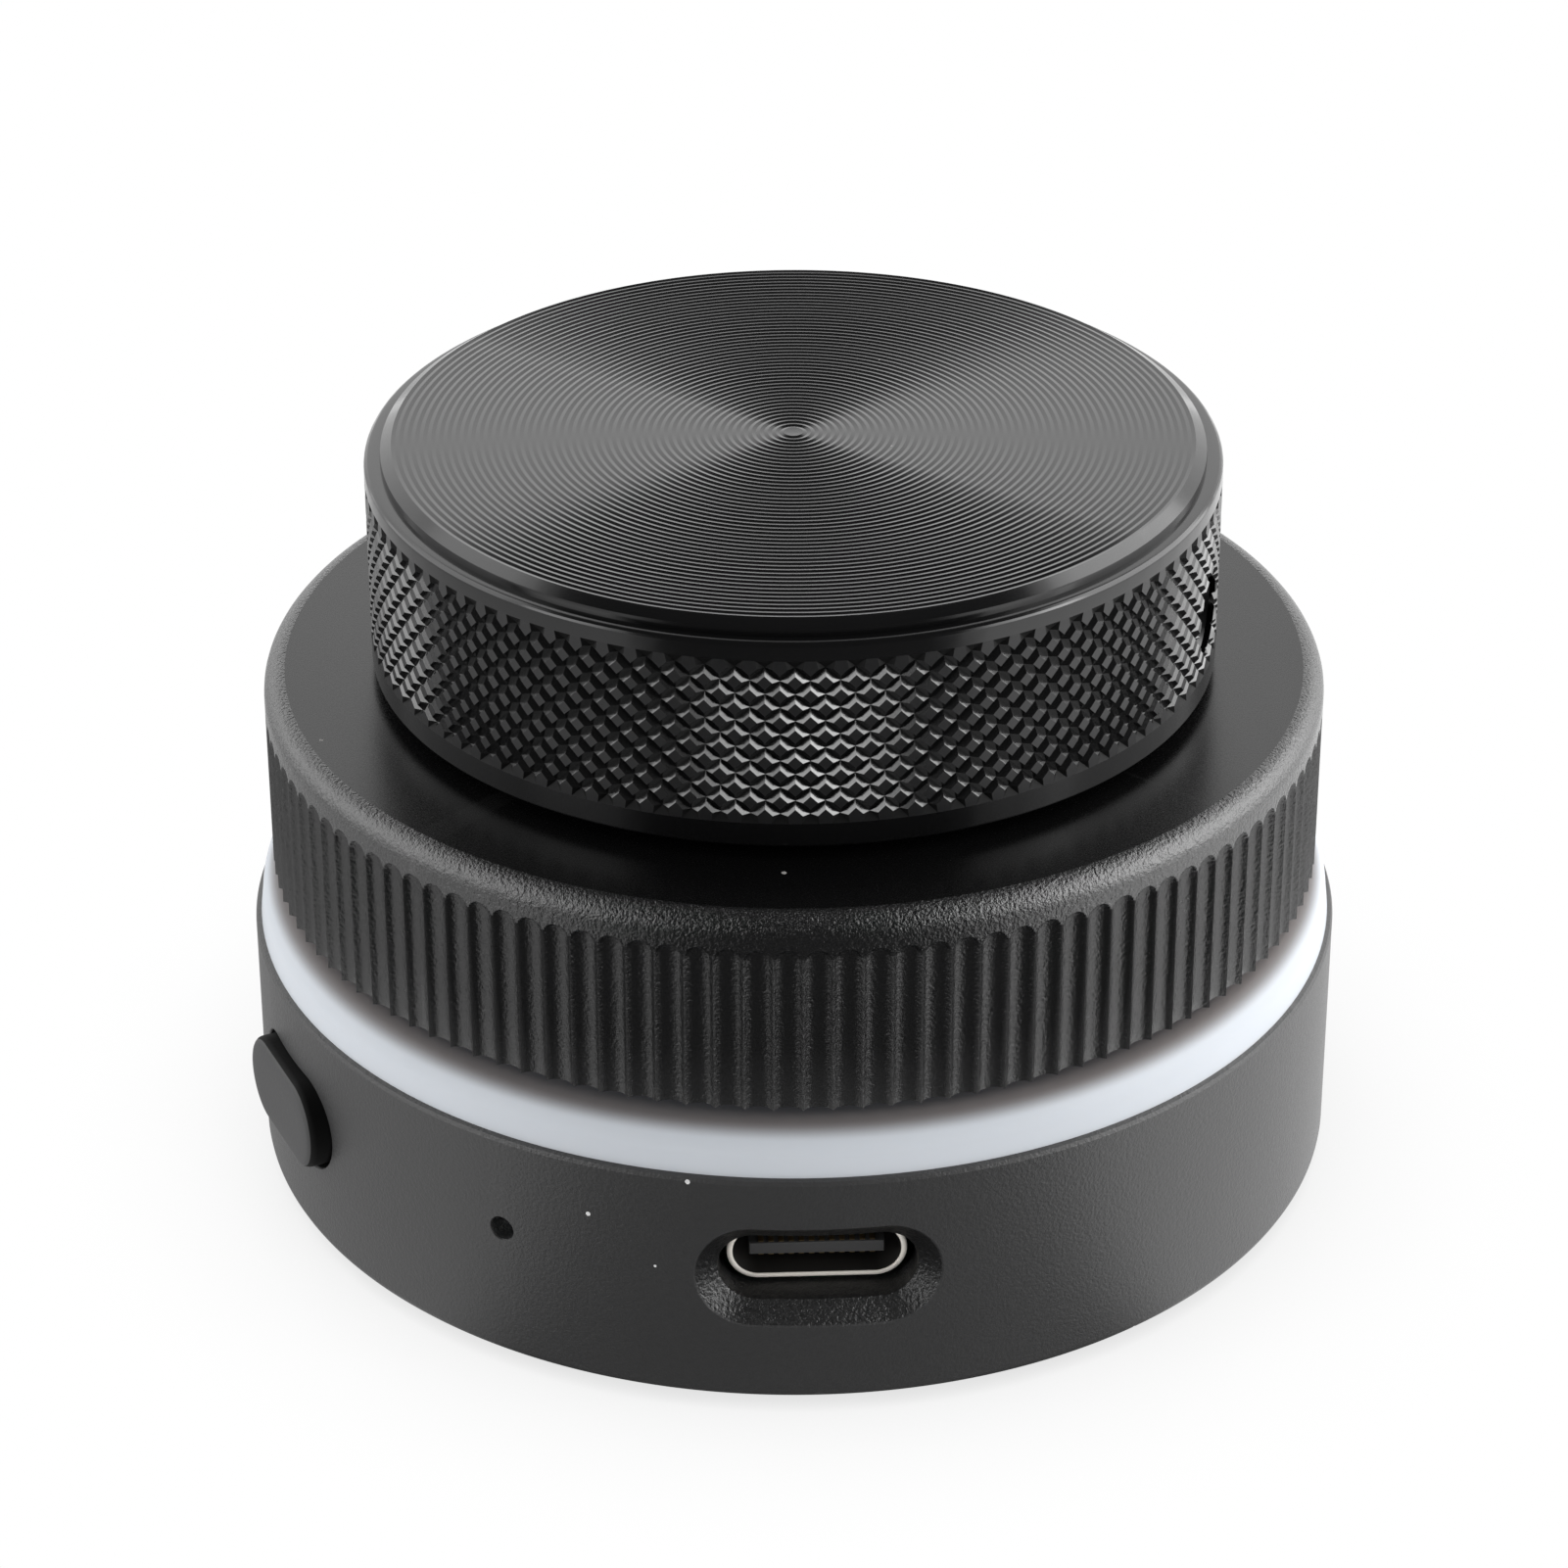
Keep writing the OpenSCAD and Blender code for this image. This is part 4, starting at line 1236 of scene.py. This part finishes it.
def in_port(point):
    """Whether a place is on the socket's opening rather than on the wall round it."""
    in_front = point.y < -HOLE_END * MM and point.xy.length < (BASE_R - PORT_EDGE / 4) * MM
    across = abs(point.x) < PORT_OUTER[0] / 2 * MM
    half_height = PORT_OUTER[1] / 2 + PORT_TOLERANCE
    return in_front and across and abs(point.z - PORT_Z * MM) < half_height * MM


def make_base():
    """The turned base with its posts and openings."""
    bm = carve(turned_base(), together([post(*where) for where in POSTS]), "UNION")
    bm = carve(bm, together([
        port_cutter(), button_cutter(), pinhole_cutter(), link_cutter()
    ]))
    # Faces of the socket's opening get material 1, whose darker colour is painted shade.
    for face in bm.faces:
        face.material_index = int(in_port(face.calc_center_median()))
    return piece_from(
        "base_housing_visual", bm, "base", "base_housing", sharp_deg=22
    )


base = make_base()

# %% [markdown]
# Glass beads blown at the aluminium leave a fine, even, sandy surface, which is then anodised
# dark grey. The grain is coarser and rougher than on the dial, so the wall scatters light into a
# wide soft sheen. The socket's opening, its bevel and the walls inside it, has a coarser and
# glossier grain on which single grains sparkle, and its much darker colour is painted shade of
# the recess.

# %% Base material
base_blasted = grained(
    "base_blasted", Colour=(0.03, 0.03, 0.0305, 1), Worn_Colour=grey(0.15),
    Dust_Colour=grey(0.6), Roughness=0.45, Grain_Scale=5500.0, Grain=0.3, Tone=0.12, Dust=0.06,
    Wear=0.12, bump_mm=0.05, bump_strength=0.9, IOR=1.6,
)
# Painted shade: a much darker copy of the finish for the socket's opening and its bevel.
base_opening_shaded = grained(
    "base_opening_shaded", Colour=(0.006, 0.006, 0.0062, 1), Worn_Colour=grey(0.1), Dust_Colour=grey(0.5),
    Roughness=0.36, Grain_Scale=4500.0, Grain=0.5, Tone=0.3, Dust=0.03, Wear=0.2, bump_mm=0.09,
    bump_strength=1.0, IOR=1.75,
)
dress(base, base_blasted, base_opening_shaded)

# %% [markdown]
# ## Rubber foot
# A moulded disc with soft edges. Rubber is matt and a little mottled, and it picks up dust.

# %% Rubber foot
FOOT_R = 27.1
FOOT_ROUND_R = 0.15
FOOT_STEPS = 200


def make_foot():
    """The rubber foot under the base."""
    bm = bmesh.new()
    verts = add_line(bm, [(0, 0), (FOOT_R, 0), (FOOT_R, BASE_Z0), (0, BASE_Z0)])
    round_point(bm, verts[1], FOOT_ROUND_R, 3)
    turn(bm, FOOT_STEPS)
    return piece_from("rubber_foot_visual", bm, "base", "rubber_foot")


foot = make_foot()
rubber = grained(
    "foot_rubber", Colour=grey(0.012), Worn_Colour=grey(0.05), Dust_Colour=(0.3, 0.29, 0.27, 1),
    Roughness=0.8, Grain_Scale=2500.0, Grain=0.5, Tone=0.4, Dust=0.06, Wear=0.3, bump_mm=0.02,
    bump_strength=0.5,
)
dress(foot, rubber)

# %% [markdown]
# ## USB-C socket
# The shell is drawn from stainless sheet: a stadium tube whose front lip is rounded, so only
# a thin bright line of it shows. Inside is a black tongue with a bevelled tip, and on its top
# and bottom lie twelve gold contacts each.

# %% Socket shell
USB_W = 8.94
USB_H = 3.26
USB_WALL = 0.3
USB_FRONT = -26.0
USB_CAVITY_END = -19.0
USB_END = -18.7
LIP_OUTER_ROUND = 0.15
LIP_INNER_ROUND = 0.05
LIP_DEPTH = 0.1
SHELL_IN = (USB_W - 2 * USB_WALL, USB_H - 2 * USB_WALL)


def make_usb_shell():
    """The socket's metal shell, closed at the back."""
    mouth = [size + 2 * LIP_INNER_ROUND for size in SHELL_IN]
    bm = loft([
        (USB_END, USB_W, USB_H),
        *rounded_end(USB_FRONT, USB_W, USB_H, LIP_OUTER_ROUND),
        (USB_FRONT, *mouth),
        (USB_FRONT + LIP_INNER_ROUND, *SHELL_IN),
        (USB_CAVITY_END, *SHELL_IN),
    ])
    for face in bm.faces:
        on_lip = face.calc_center_median().y < (USB_FRONT + LIP_DEPTH) * MM
        face.material_index = 0 if on_lip and face.normal.y < 0 else 1
    place(bm, 0, PORT_Z)
    return piece_from("usb_shell_visual", bm, "base", "usb_shell", sharp_deg=50)


usb_shell = make_usb_shell()

# %% Socket tongue and contacts
TONGUE_W = 6.69
TONGUE_T = 0.7
TONGUE_TIP = -25.8
TONGUE_END = -20.2
TONGUE_OVERLAP = 0.5
TIP_BEVEL = 0.12
BLOCK_GAP = 0.05
CONTACT_COUNT = 12
CONTACT_PITCH = 0.5
CONTACT_W = 0.26
CONTACT_T = 0.05
CONTACT_START = -25.72
CONTACT_END = -21.9
CONTACT_BEVEL = 0.015


def box(x, y0, y1, z0, z1, width, rounding, only_front=False):
    """A bar along Y with bevelled edges, sizes in millimetres."""
    bm = bmesh.new()
    add_block(bm, (width, y1 - y0, z1 - z0), x, (y0 + y1) / 2, (z0 + z1) / 2)
    front = min(v.co.y for v in bm.verts) + SAME_POINT
    edges = [
        e for e in bm.edges
        if not only_front or all(v.co.y < front for v in e.verts)
    ]
    bevel(bm, edges, rounding, 2)
    return bm


def make_tongue():
    """The socket's tongue with the block that fills the back of the shell."""
    block = [size - BLOCK_GAP for size in SHELL_IN]
    bm = loft([(TONGUE_END, *block), (USB_CAVITY_END, *block)])
    half = TONGUE_T / 2
    tongue_end = TONGUE_END + TONGUE_OVERLAP
    tongue = box(0, TONGUE_TIP, tongue_end, -half, half, TONGUE_W, TIP_BEVEL, True)
    bm = carve(bm, tongue, "UNION")
    place(bm, 0, PORT_Z)
    return piece_from(
        "usb_tongue_visual", bm, "base", "usb_tongue", sharp_deg=30
    )


def make_contacts():
    """Two rows of gold contacts, as one mesh of small bars."""
    half = TONGUE_T / 2
    bars = together([
        box(
            (i - (CONTACT_COUNT - 1) / 2) * CONTACT_PITCH, CONTACT_START, CONTACT_END,
            z0, z0 + CONTACT_T, CONTACT_W, CONTACT_BEVEL
        )
        for i in range(CONTACT_COUNT) for z0 in (half, -half - CONTACT_T)
    ])
    place(bars, 0, PORT_Z)
    return piece_from("usb_contacts_visual", bars, "base", "usb_contacts")


usb_tongue = make_tongue()
usb_contacts = make_contacts()

# %% [markdown]
# ## Side button
# The button is a stadium-shaped cap that stands a little proud of the wall, with a rounded rim
# and a nearly flat matt face. Its upright side gets a black material, painted shade where light
# hardly reaches between cap and wall. A wider flange behind the wall keeps it in.

# %% Side button
BUTTON_OUT = 29.3
BUTTON_CAP = (9.1, 4.8)
BUTTON_RIM = 0.45
BUTTON_FLANGE = (10.0, 5.7)
FLANGE_OUT = 25.06
FLANGE_IN = 24.26
FACE_INSET = 0.25
FACE_CROWN = 0.05
BUTTON_TURNOVER = 0.75
RIM_STEPS = 6


def make_button():
    """The side button with its flange."""
    inset = 2 * (BUTTON_RIM + FACE_INSET)
    bm = loft([
        (-FLANGE_IN, *BUTTON_FLANGE), (-FLANGE_OUT, *BUTTON_FLANGE), (-FLANGE_OUT, *BUTTON_CAP),
        *rounded_end(-BUTTON_OUT + FACE_CROWN, *BUTTON_CAP, BUTTON_RIM, RIM_STEPS),
        (-BUTTON_OUT + FACE_CROWN / 2, *[size - inset for size in BUTTON_CAP]),
        (-BUTTON_OUT, *[size - 2 * inset for size in BUTTON_CAP]),
    ])
    for face in bm.faces:
        face.material_index = 0 if abs(face.normal.y) > BUTTON_TURNOVER else 1
    place(bm, BUTTON_ANGLE, BUTTON_Z)
    return piece_from(
        "side_button_visual", bm, "button", "side_button", sharp_deg=40
    )


button = make_button()
button_matt = grained(
    "button_matt", Colour=(0.038, 0.038, 0.039, 1), Worn_Colour=grey(0.12),
    Dust_Colour=grey(0.3), Roughness=0.6, Grain_Scale=5000.0, Grain=0.3, Tone=0.2, Dust=0.05,
    Wear=0.3, bump_mm=0.015, bump_strength=0.6,
)
# Painted shade: a black, dull copy of the button's finish for its upright side.
button_side_shaded = grained(
    "button_side_shaded", Colour=grey(0.004), Worn_Colour=grey(0.03), Dust_Colour=grey(0.2),
    Roughness=0.7, Grain_Scale=5000.0, Grain=0.3, Tone=0.2, Dust=0.03, Wear=0.2, bump_mm=0.01,
    bump_strength=0.5, IOR=1.25,
)
dress(button, button_matt, button_side_shaded)

# %% [markdown]
# ## Snap dome
# Under the knob's shaft a thin steel dome snaps flat when the knob is pressed. It is turned as a
# shallow cap.

# %% Snap dome
DOME_R = 2.2
DOME_Z0 = 6.87
DOME_H = 0.6
DOME_STEPS = 48


def make_dome():
    """The snap dome under the shaft."""
    bm = bmesh.new()
    verts = add_line(bm, [
        (0, DOME_Z0), (DOME_R, DOME_Z0), (DOME_R / 2, DOME_Z0 + DOME_H), (0, DOME_Z0 + DOME_H)
    ])
    round_point(bm, verts[2], DOME_H / 2, 3)
    turn(bm, DOME_STEPS)
    return piece_from("push_dome_visual", bm, "base", "push_dome")


push_dome = make_dome()
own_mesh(push_dome)

# %% [markdown]
# ## Materials of the socket and of the pieces inside
# What sits inside is seen only when the object is taken apart, but each piece still gets a
# finish of its own: lacquered board with copper tracks under the green, moulded plastic,
# drawn and turned steel, gold plating, and clear lamp lenses. The socket is seen from outside.
# Its steel lip catches the light, and the steel behind the lip lies in shade, so the shell has a
# pale material for its lip and a dark copy of the steel, painted shade, for the rest. The
# tongue's plastic is paler than the other black plastic, as painted light from the front, and
# the gold is darkened, as painted shade on the contacts deep in the socket.

# %% Circuit board
TRACK_SCALE = 420.0
TRACK_EDGE = (0.08, 0.12)
COPPER_UNDER_LACQUER = (0.03, 0.16, 0.07, 1)


def make_track_group():
    """Copper tracks under lacquer, as a mask."""
    group, given, result = new_group(
        "board_tracks", [("Scale", FLOAT, TRACK_SCALE)], [("Mask", FLOAT)]
    )
    cells = add_node(
        group, "ShaderNodeTexVoronoi", {"Vector": own_place(group), "Scale": given["Scale"]},
        distance="MANHATTAN", feature="DISTANCE_TO_EDGE",
    )
    group.links.new(ramp(group, cells.outputs[0], *TRACK_EDGE), result["Mask"])
    return group


def make_board_material(tracks):
    """Green lacquer over paler copper areas."""
    material = grained(
        "board_lacquer", Colour=(0.012, 0.09, 0.045, 1), Worn_Colour=(0.3, 0.3, 0.2, 1),
        Roughness=0.32, Grain_Scale=3000.0, Grain=0.2, Tone=0.2, Dust=0.02, Wear=0.2,
        Coat_Weight=0.4, Coat_Roughness=0.15,
    )
    pattern = add_node(material.node_tree, "ShaderNodeGroup", node_tree=tracks)
    tint(material, pattern.outputs["Mask"], COPPER_UNDER_LACQUER)
    return material


board_lacquer = make_board_material(make_track_group())

# %% Metals and plastics inside
def turned_metal(name, colour, roughness, pitch):
    """Bare metal with the fine rings of a lathe."""
    material = grained(
        name, Colour=colour, Worn_Colour=grey(0.9), Roughness=roughness, Grain_Scale=6000.0,
        Grain=0.08, Tone=0.12, Dust=0.02, Wear=0.4, Metallic=1.0,
    )
    tree = material.node_tree
    shader = tree.nodes["Principled BSDF"]
    rings = add_node(
        tree, "ShaderNodeGroup", {"Pitch": pitch, "Roughness": roughness}, node_tree=turned_group
    )
    bump = shader.inputs["Normal"].links[0].from_node
    tree.links.new(rings.outputs["Height"], bump.inputs["Height"])
    tree.links.new(rings.outputs["Roughness"], shader.inputs["Roughness"])
    return material


steel = turned_metal("steel_turned", (0.62, 0.61, 0.6, 1), 0.25, 0.00018)
shell_steel = grained(
    "steel_drawn", Colour=(0.95, 0.9, 0.82, 1), Worn_Colour=(0.97, 0.95, 0.9, 1), Roughness=0.45,
    Grain_Scale=5000.0, Grain=0.15, Tone=0.1, Dust=0.0, Wear=0.4, bump_mm=0.003, Metallic=0.1,
)
# Painted shade: the gold is darkened, for the contacts that lie in shade inside the socket.
gold = grained(
    "gold_plated", Colour=(0.5, 0.37, 0.19, 1), Worn_Colour=(0.8, 0.66, 0.4, 1), Roughness=0.35,
    Grain_Scale=8000.0, Grain=0.15, Tone=0.1, Dust=0.0, Wear=0.3, bump_mm=0.003, Metallic=1.0,
)
black_plastic = grained(
    "plastic_black", Colour=(0.022, 0.022, 0.023, 1), Worn_Colour=grey(0.06), Roughness=0.42,
    Grain_Scale=4000.0, Grain=0.25, Tone=0.2, Dust=0.02, Wear=0.3, bump_mm=0.008,
)
# Painted light: the tongue's plastic is paler than the other black plastic, for the light its
# front catches.
tongue_plastic = grained(
    "plastic_tongue", Colour=(0.045, 0.045, 0.046, 1), Worn_Colour=grey(0.15), Roughness=0.35,
    Grain_Scale=4000.0, Grain=0.2, Tone=0.2, Dust=0.0, Wear=0.5, bump_mm=0.006,
)
pale_plastic = grained(
    "plastic_pale", Colour=(0.72, 0.69, 0.6, 1), Worn_Colour=(0.85, 0.82, 0.75, 1),
    Roughness=0.45, Grain_Scale=3000.0, Grain=0.1, Tone=0.12, Dust=0.02, Wear=0.2, bump_mm=0.008,
    Subsurface_Weight=0.2, Subsurface_Radius=(0.001, 0.0008, 0.0005), Subsurface_Scale=1.0,
)
lamp_lens = grained(
    "lamp_lens", Colour=(0.85, 0.84, 0.76, 1), Worn_Colour=(0.95, 0.95, 0.9, 1), Roughness=0.15,
    Grain_Scale=3000.0, Grain=0.05, Tone=0.15, Dust=0.01, Wear=0.1, bump_mm=0.002,
    Transmission_Weight=0.4, Emission_Color=(0.9, 0.95, 1.0, 1), Emission_Strength=0.4,
)
# Painted shade: a dark copy of the drawn steel for the shell behind its lip.
shell_shaded = grained(
    "steel_shaded", Colour=(0.03, 0.028, 0.026, 1), Worn_Colour=grey(0.08), Roughness=0.4,
    Grain_Scale=5000.0, Grain=0.2, Tone=0.2, Dust=0.0, Wear=0.2, bump_mm=0.003,
)
dress(usb_shell, shell_steel, shell_shaded)
dress(usb_tongue, tongue_plastic)
dress(push_dome, steel)
dress(usb_contacts, gold)

# %% Finishes of the CAD nodes that stay in view
NODE_FINISHES = {
    "bottom_cover": black_plastic, "control_chip": black_plastic, "board_link": black_plastic,
    "switch_body": black_plastic, "board_capacitors": pale_plastic,
    "switch_plunger": pale_plastic, "knob_disc": pale_plastic, "dial_disc": pale_plastic,
    "main_board": board_lacquer, "led_board": board_lacquer, "contact_plate": gold,
    "status_light": lamp_lens, "ring_lights": lamp_lens,
}
for name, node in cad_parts.items():
    if not node.hide_render:
        dress(node, NODE_FINISHES.get(name, steel))
print("CAD nodes kept:", sum(not node.hide_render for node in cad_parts.values()))

# %% [markdown]
# ## Studio
# The floor is plain and pale, and the light is soft. Polished black metal shows mostly what
# stands round it, so the softboxes are placed for their reflections: one behind the object,
# which the turned face and the dial's top reflect, one at each side, and one behind each side.
# Their edges are soft, so no hard line shows where a reflection ends.

# %% Studio lights
LIGHT_AIM = 0.025
LIGHT_DISTANCE = 0.6
SOFT_BORDER = 0.14


def polar(azimuth, elevation):
    """A softbox's place: azimuth from the front towards +X, in degrees."""
    a, e = math.radians(azimuth), math.radians(elevation)
    outward = Vector((
        math.sin(a) * math.cos(e), -math.cos(a) * math.cos(e), math.sin(e)
    ))
    return outward * LIGHT_DISTANCE + Vector((0, 0, LIGHT_AIM))


def soften(data):
    """Lets a softbox fade towards its edges, as cloth in front of a lamp does."""
    data.use_nodes = True
    tree = data.node_tree
    where = add_node(tree, "ShaderNodeNewGeometry").outputs["Parametric"]
    fades = []
    for across in split(tree, where)[:2]:
        away = calculate(tree, "ABSOLUTE", calculate(tree, "SUBTRACT", across, 0.5))
        fades.append(ramp(tree, away, 0.5, 0.5 - SOFT_BORDER, kind="SMOOTHSTEP"))
    level = calculate(tree, "MULTIPLY", *fades)
    tree.links.new(level, tree.nodes["Emission"].inputs["Strength"])


def add_softbox(name, azimuth, elevation, width, height, radiance):
    """A rectangular light that is reflected, but isn't seen by the camera itself."""
    data = bpy.data.lights.new(name, "AREA")
    data.shape = "RECTANGLE"
    data.size = width
    data.size_y = height
    data.energy = radiance * math.pi * width * height
    soften(data)
    lamp = new_object(name, data)
    lamp.location = polar(azimuth, elevation)
    aim = Vector((0, 0, LIGHT_AIM)) - lamp.location
    lamp.rotation_mode = "QUATERNION"
    lamp.rotation_quaternion = aim.to_track_quat("-Z", "Y")
    lamp.visible_camera = False


SOFTBOXES = [
    ("light_back", 180, 18, 1.70, 0.58, 1.4),
    ("light_left", -62, 16, 0.34, 0.46, 3.5),
    ("light_right", 62, 16, 0.34, 0.46, 4.3),
    ("light_right_back", 100, 26, 0.78, 0.78, 3.8),
    ("light_left_back", -106, 26, 0.60, 0.78, 2.2),
]
for settings in SOFTBOXES:
    add_softbox(*settings)
print("softboxes:", len(SOFTBOXES))

# %% [markdown]
# The floor and the surroundings look pure white to the camera, as in a catalogue picture, but
# in the black gloss of the object they are reflected much darker, as a grey studio floor
# would be. Light Path tells the kinds of ray apart. The floor is darkest in front of the
# object, where the camera stands, and that gives the black side its dark middle.

# %% Floor
FLOOR_R = 3.0
FLOOR_DROP = 0.0001
FLOOR_STEPS = 96
FLOOR_FRONT_LEVEL = 0.06
FLOOR_SIDE_LEVEL = 1.02
FLOOR_RIGHT_GAIN = 0.36
FLOOR_DIFFUSE_LEVEL = 1.2
DARK_SECTOR = math.cos(math.radians(30))
BRIGHT_SECTOR = math.cos(math.radians(46))
SHADE_REACH = 0.02
SHADE_SAMPLES = 8
SHADE_OPEN = 0.8
SHADE_DEEPEST = 0.72


def make_floor():
    """A large pale disc under the object."""
    bm = bmesh.new()
    bmesh.ops.create_circle(bm, cap_ends=True, segments=FLOOR_STEPS, radius=FLOOR_R)
    disc = new_object("floor", mesh_from("floor", bm))
    disc.location = (0, 0, -FLOOR_DROP)
    return disc


def front_sector(tree):
    """How bright the floor is in reflections: dark in front of the object, bright elsewhere."""
    unit = add_node(tree, "ShaderNodeVectorMath", {0: own_place(tree)}, operation="NORMALIZE")
    x, y, _ = split(tree, unit.outputs[0])
    level = ramp(
        tree, y, -DARK_SECTOR, -BRIGHT_SECTOR, FLOOR_FRONT_LEVEL, FLOOR_SIDE_LEVEL, "SMOOTHSTEP"
    )
    lean = calculate(tree, "MULTIPLY", x, FLOOR_RIGHT_GAIN)
    return calculate(tree, "MULTIPLY", level, calculate(tree, "ADD", lean, 1.0))


def make_floor_material():
    """White for the camera, darker in reflections, with a faint painted shade near the object.
    """
    material = bpy.data.materials.new("floor_pale")
    material.use_nodes = True
    tree = material.node_tree
    tree.nodes.clear()
    # Painted shade: ambient occlusion dims the floor's white near the object.
    near = add_node(
        tree, "ShaderNodeAmbientOcclusion", {"Distance": SHADE_REACH}, samples=SHADE_SAMPLES
    )
    shade = ramp(tree, near.outputs["AO"], 0.0, SHADE_OPEN, SHADE_DEEPEST)
    seen = add_node(tree, "ShaderNodeEmission", {"Strength": shade})
    path = add_node(tree, "ShaderNodeLightPath").outputs
    level = add_node(tree, "ShaderNodeMix", {
        "Factor": path["Is Diffuse Ray"], 2: front_sector(tree), 3: FLOOR_DIFFUSE_LEVEL,
    })
    reflected = add_node(tree, "ShaderNodeEmission", {"Strength": level.outputs[0]})
    choice = add_node(tree, "ShaderNodeMixShader", {
        0: path["Is Camera Ray"], 1: reflected.outputs[0], 2: seen.outputs[0],
    })
    add_node(tree, "ShaderNodeOutputMaterial", {"Surface": choice.outputs[0]})
    return material


floor = make_floor()
dress(floor, make_floor_material())
print("floor:", 2 * FLOOR_R, "m across")

# %% Surroundings
WHITE = (1, 1, 1, 1)
WORLD_GLOSS_LEVEL = 0.03
WORLD_FILL_LEVEL = 0.22


def make_surroundings():
    """World light: white to the camera, dim in reflections, soft fill elsewhere."""
    world = bpy.data.worlds.new("studio")
    bpy.context.scene.world = world
    world.use_nodes = True
    tree = world.node_tree
    light = tree.nodes["Background"]
    path = add_node(tree, "ShaderNodeLightPath").outputs
    level = WORLD_FILL_LEVEL
    for kind, own_level in (("Is Glossy Ray", WORLD_GLOSS_LEVEL), ("Is Camera Ray", 1.0)):
        change = calculate(tree, "MULTIPLY", path[kind], own_level - WORLD_FILL_LEVEL)
        level = calculate(tree, "ADD", change, level)
    light.inputs["Color"].default_value = WHITE
    tree.links.new(level, light.inputs["Strength"])


make_surroundings()
bpy.context.scene.view_settings.view_transform = "Standard"
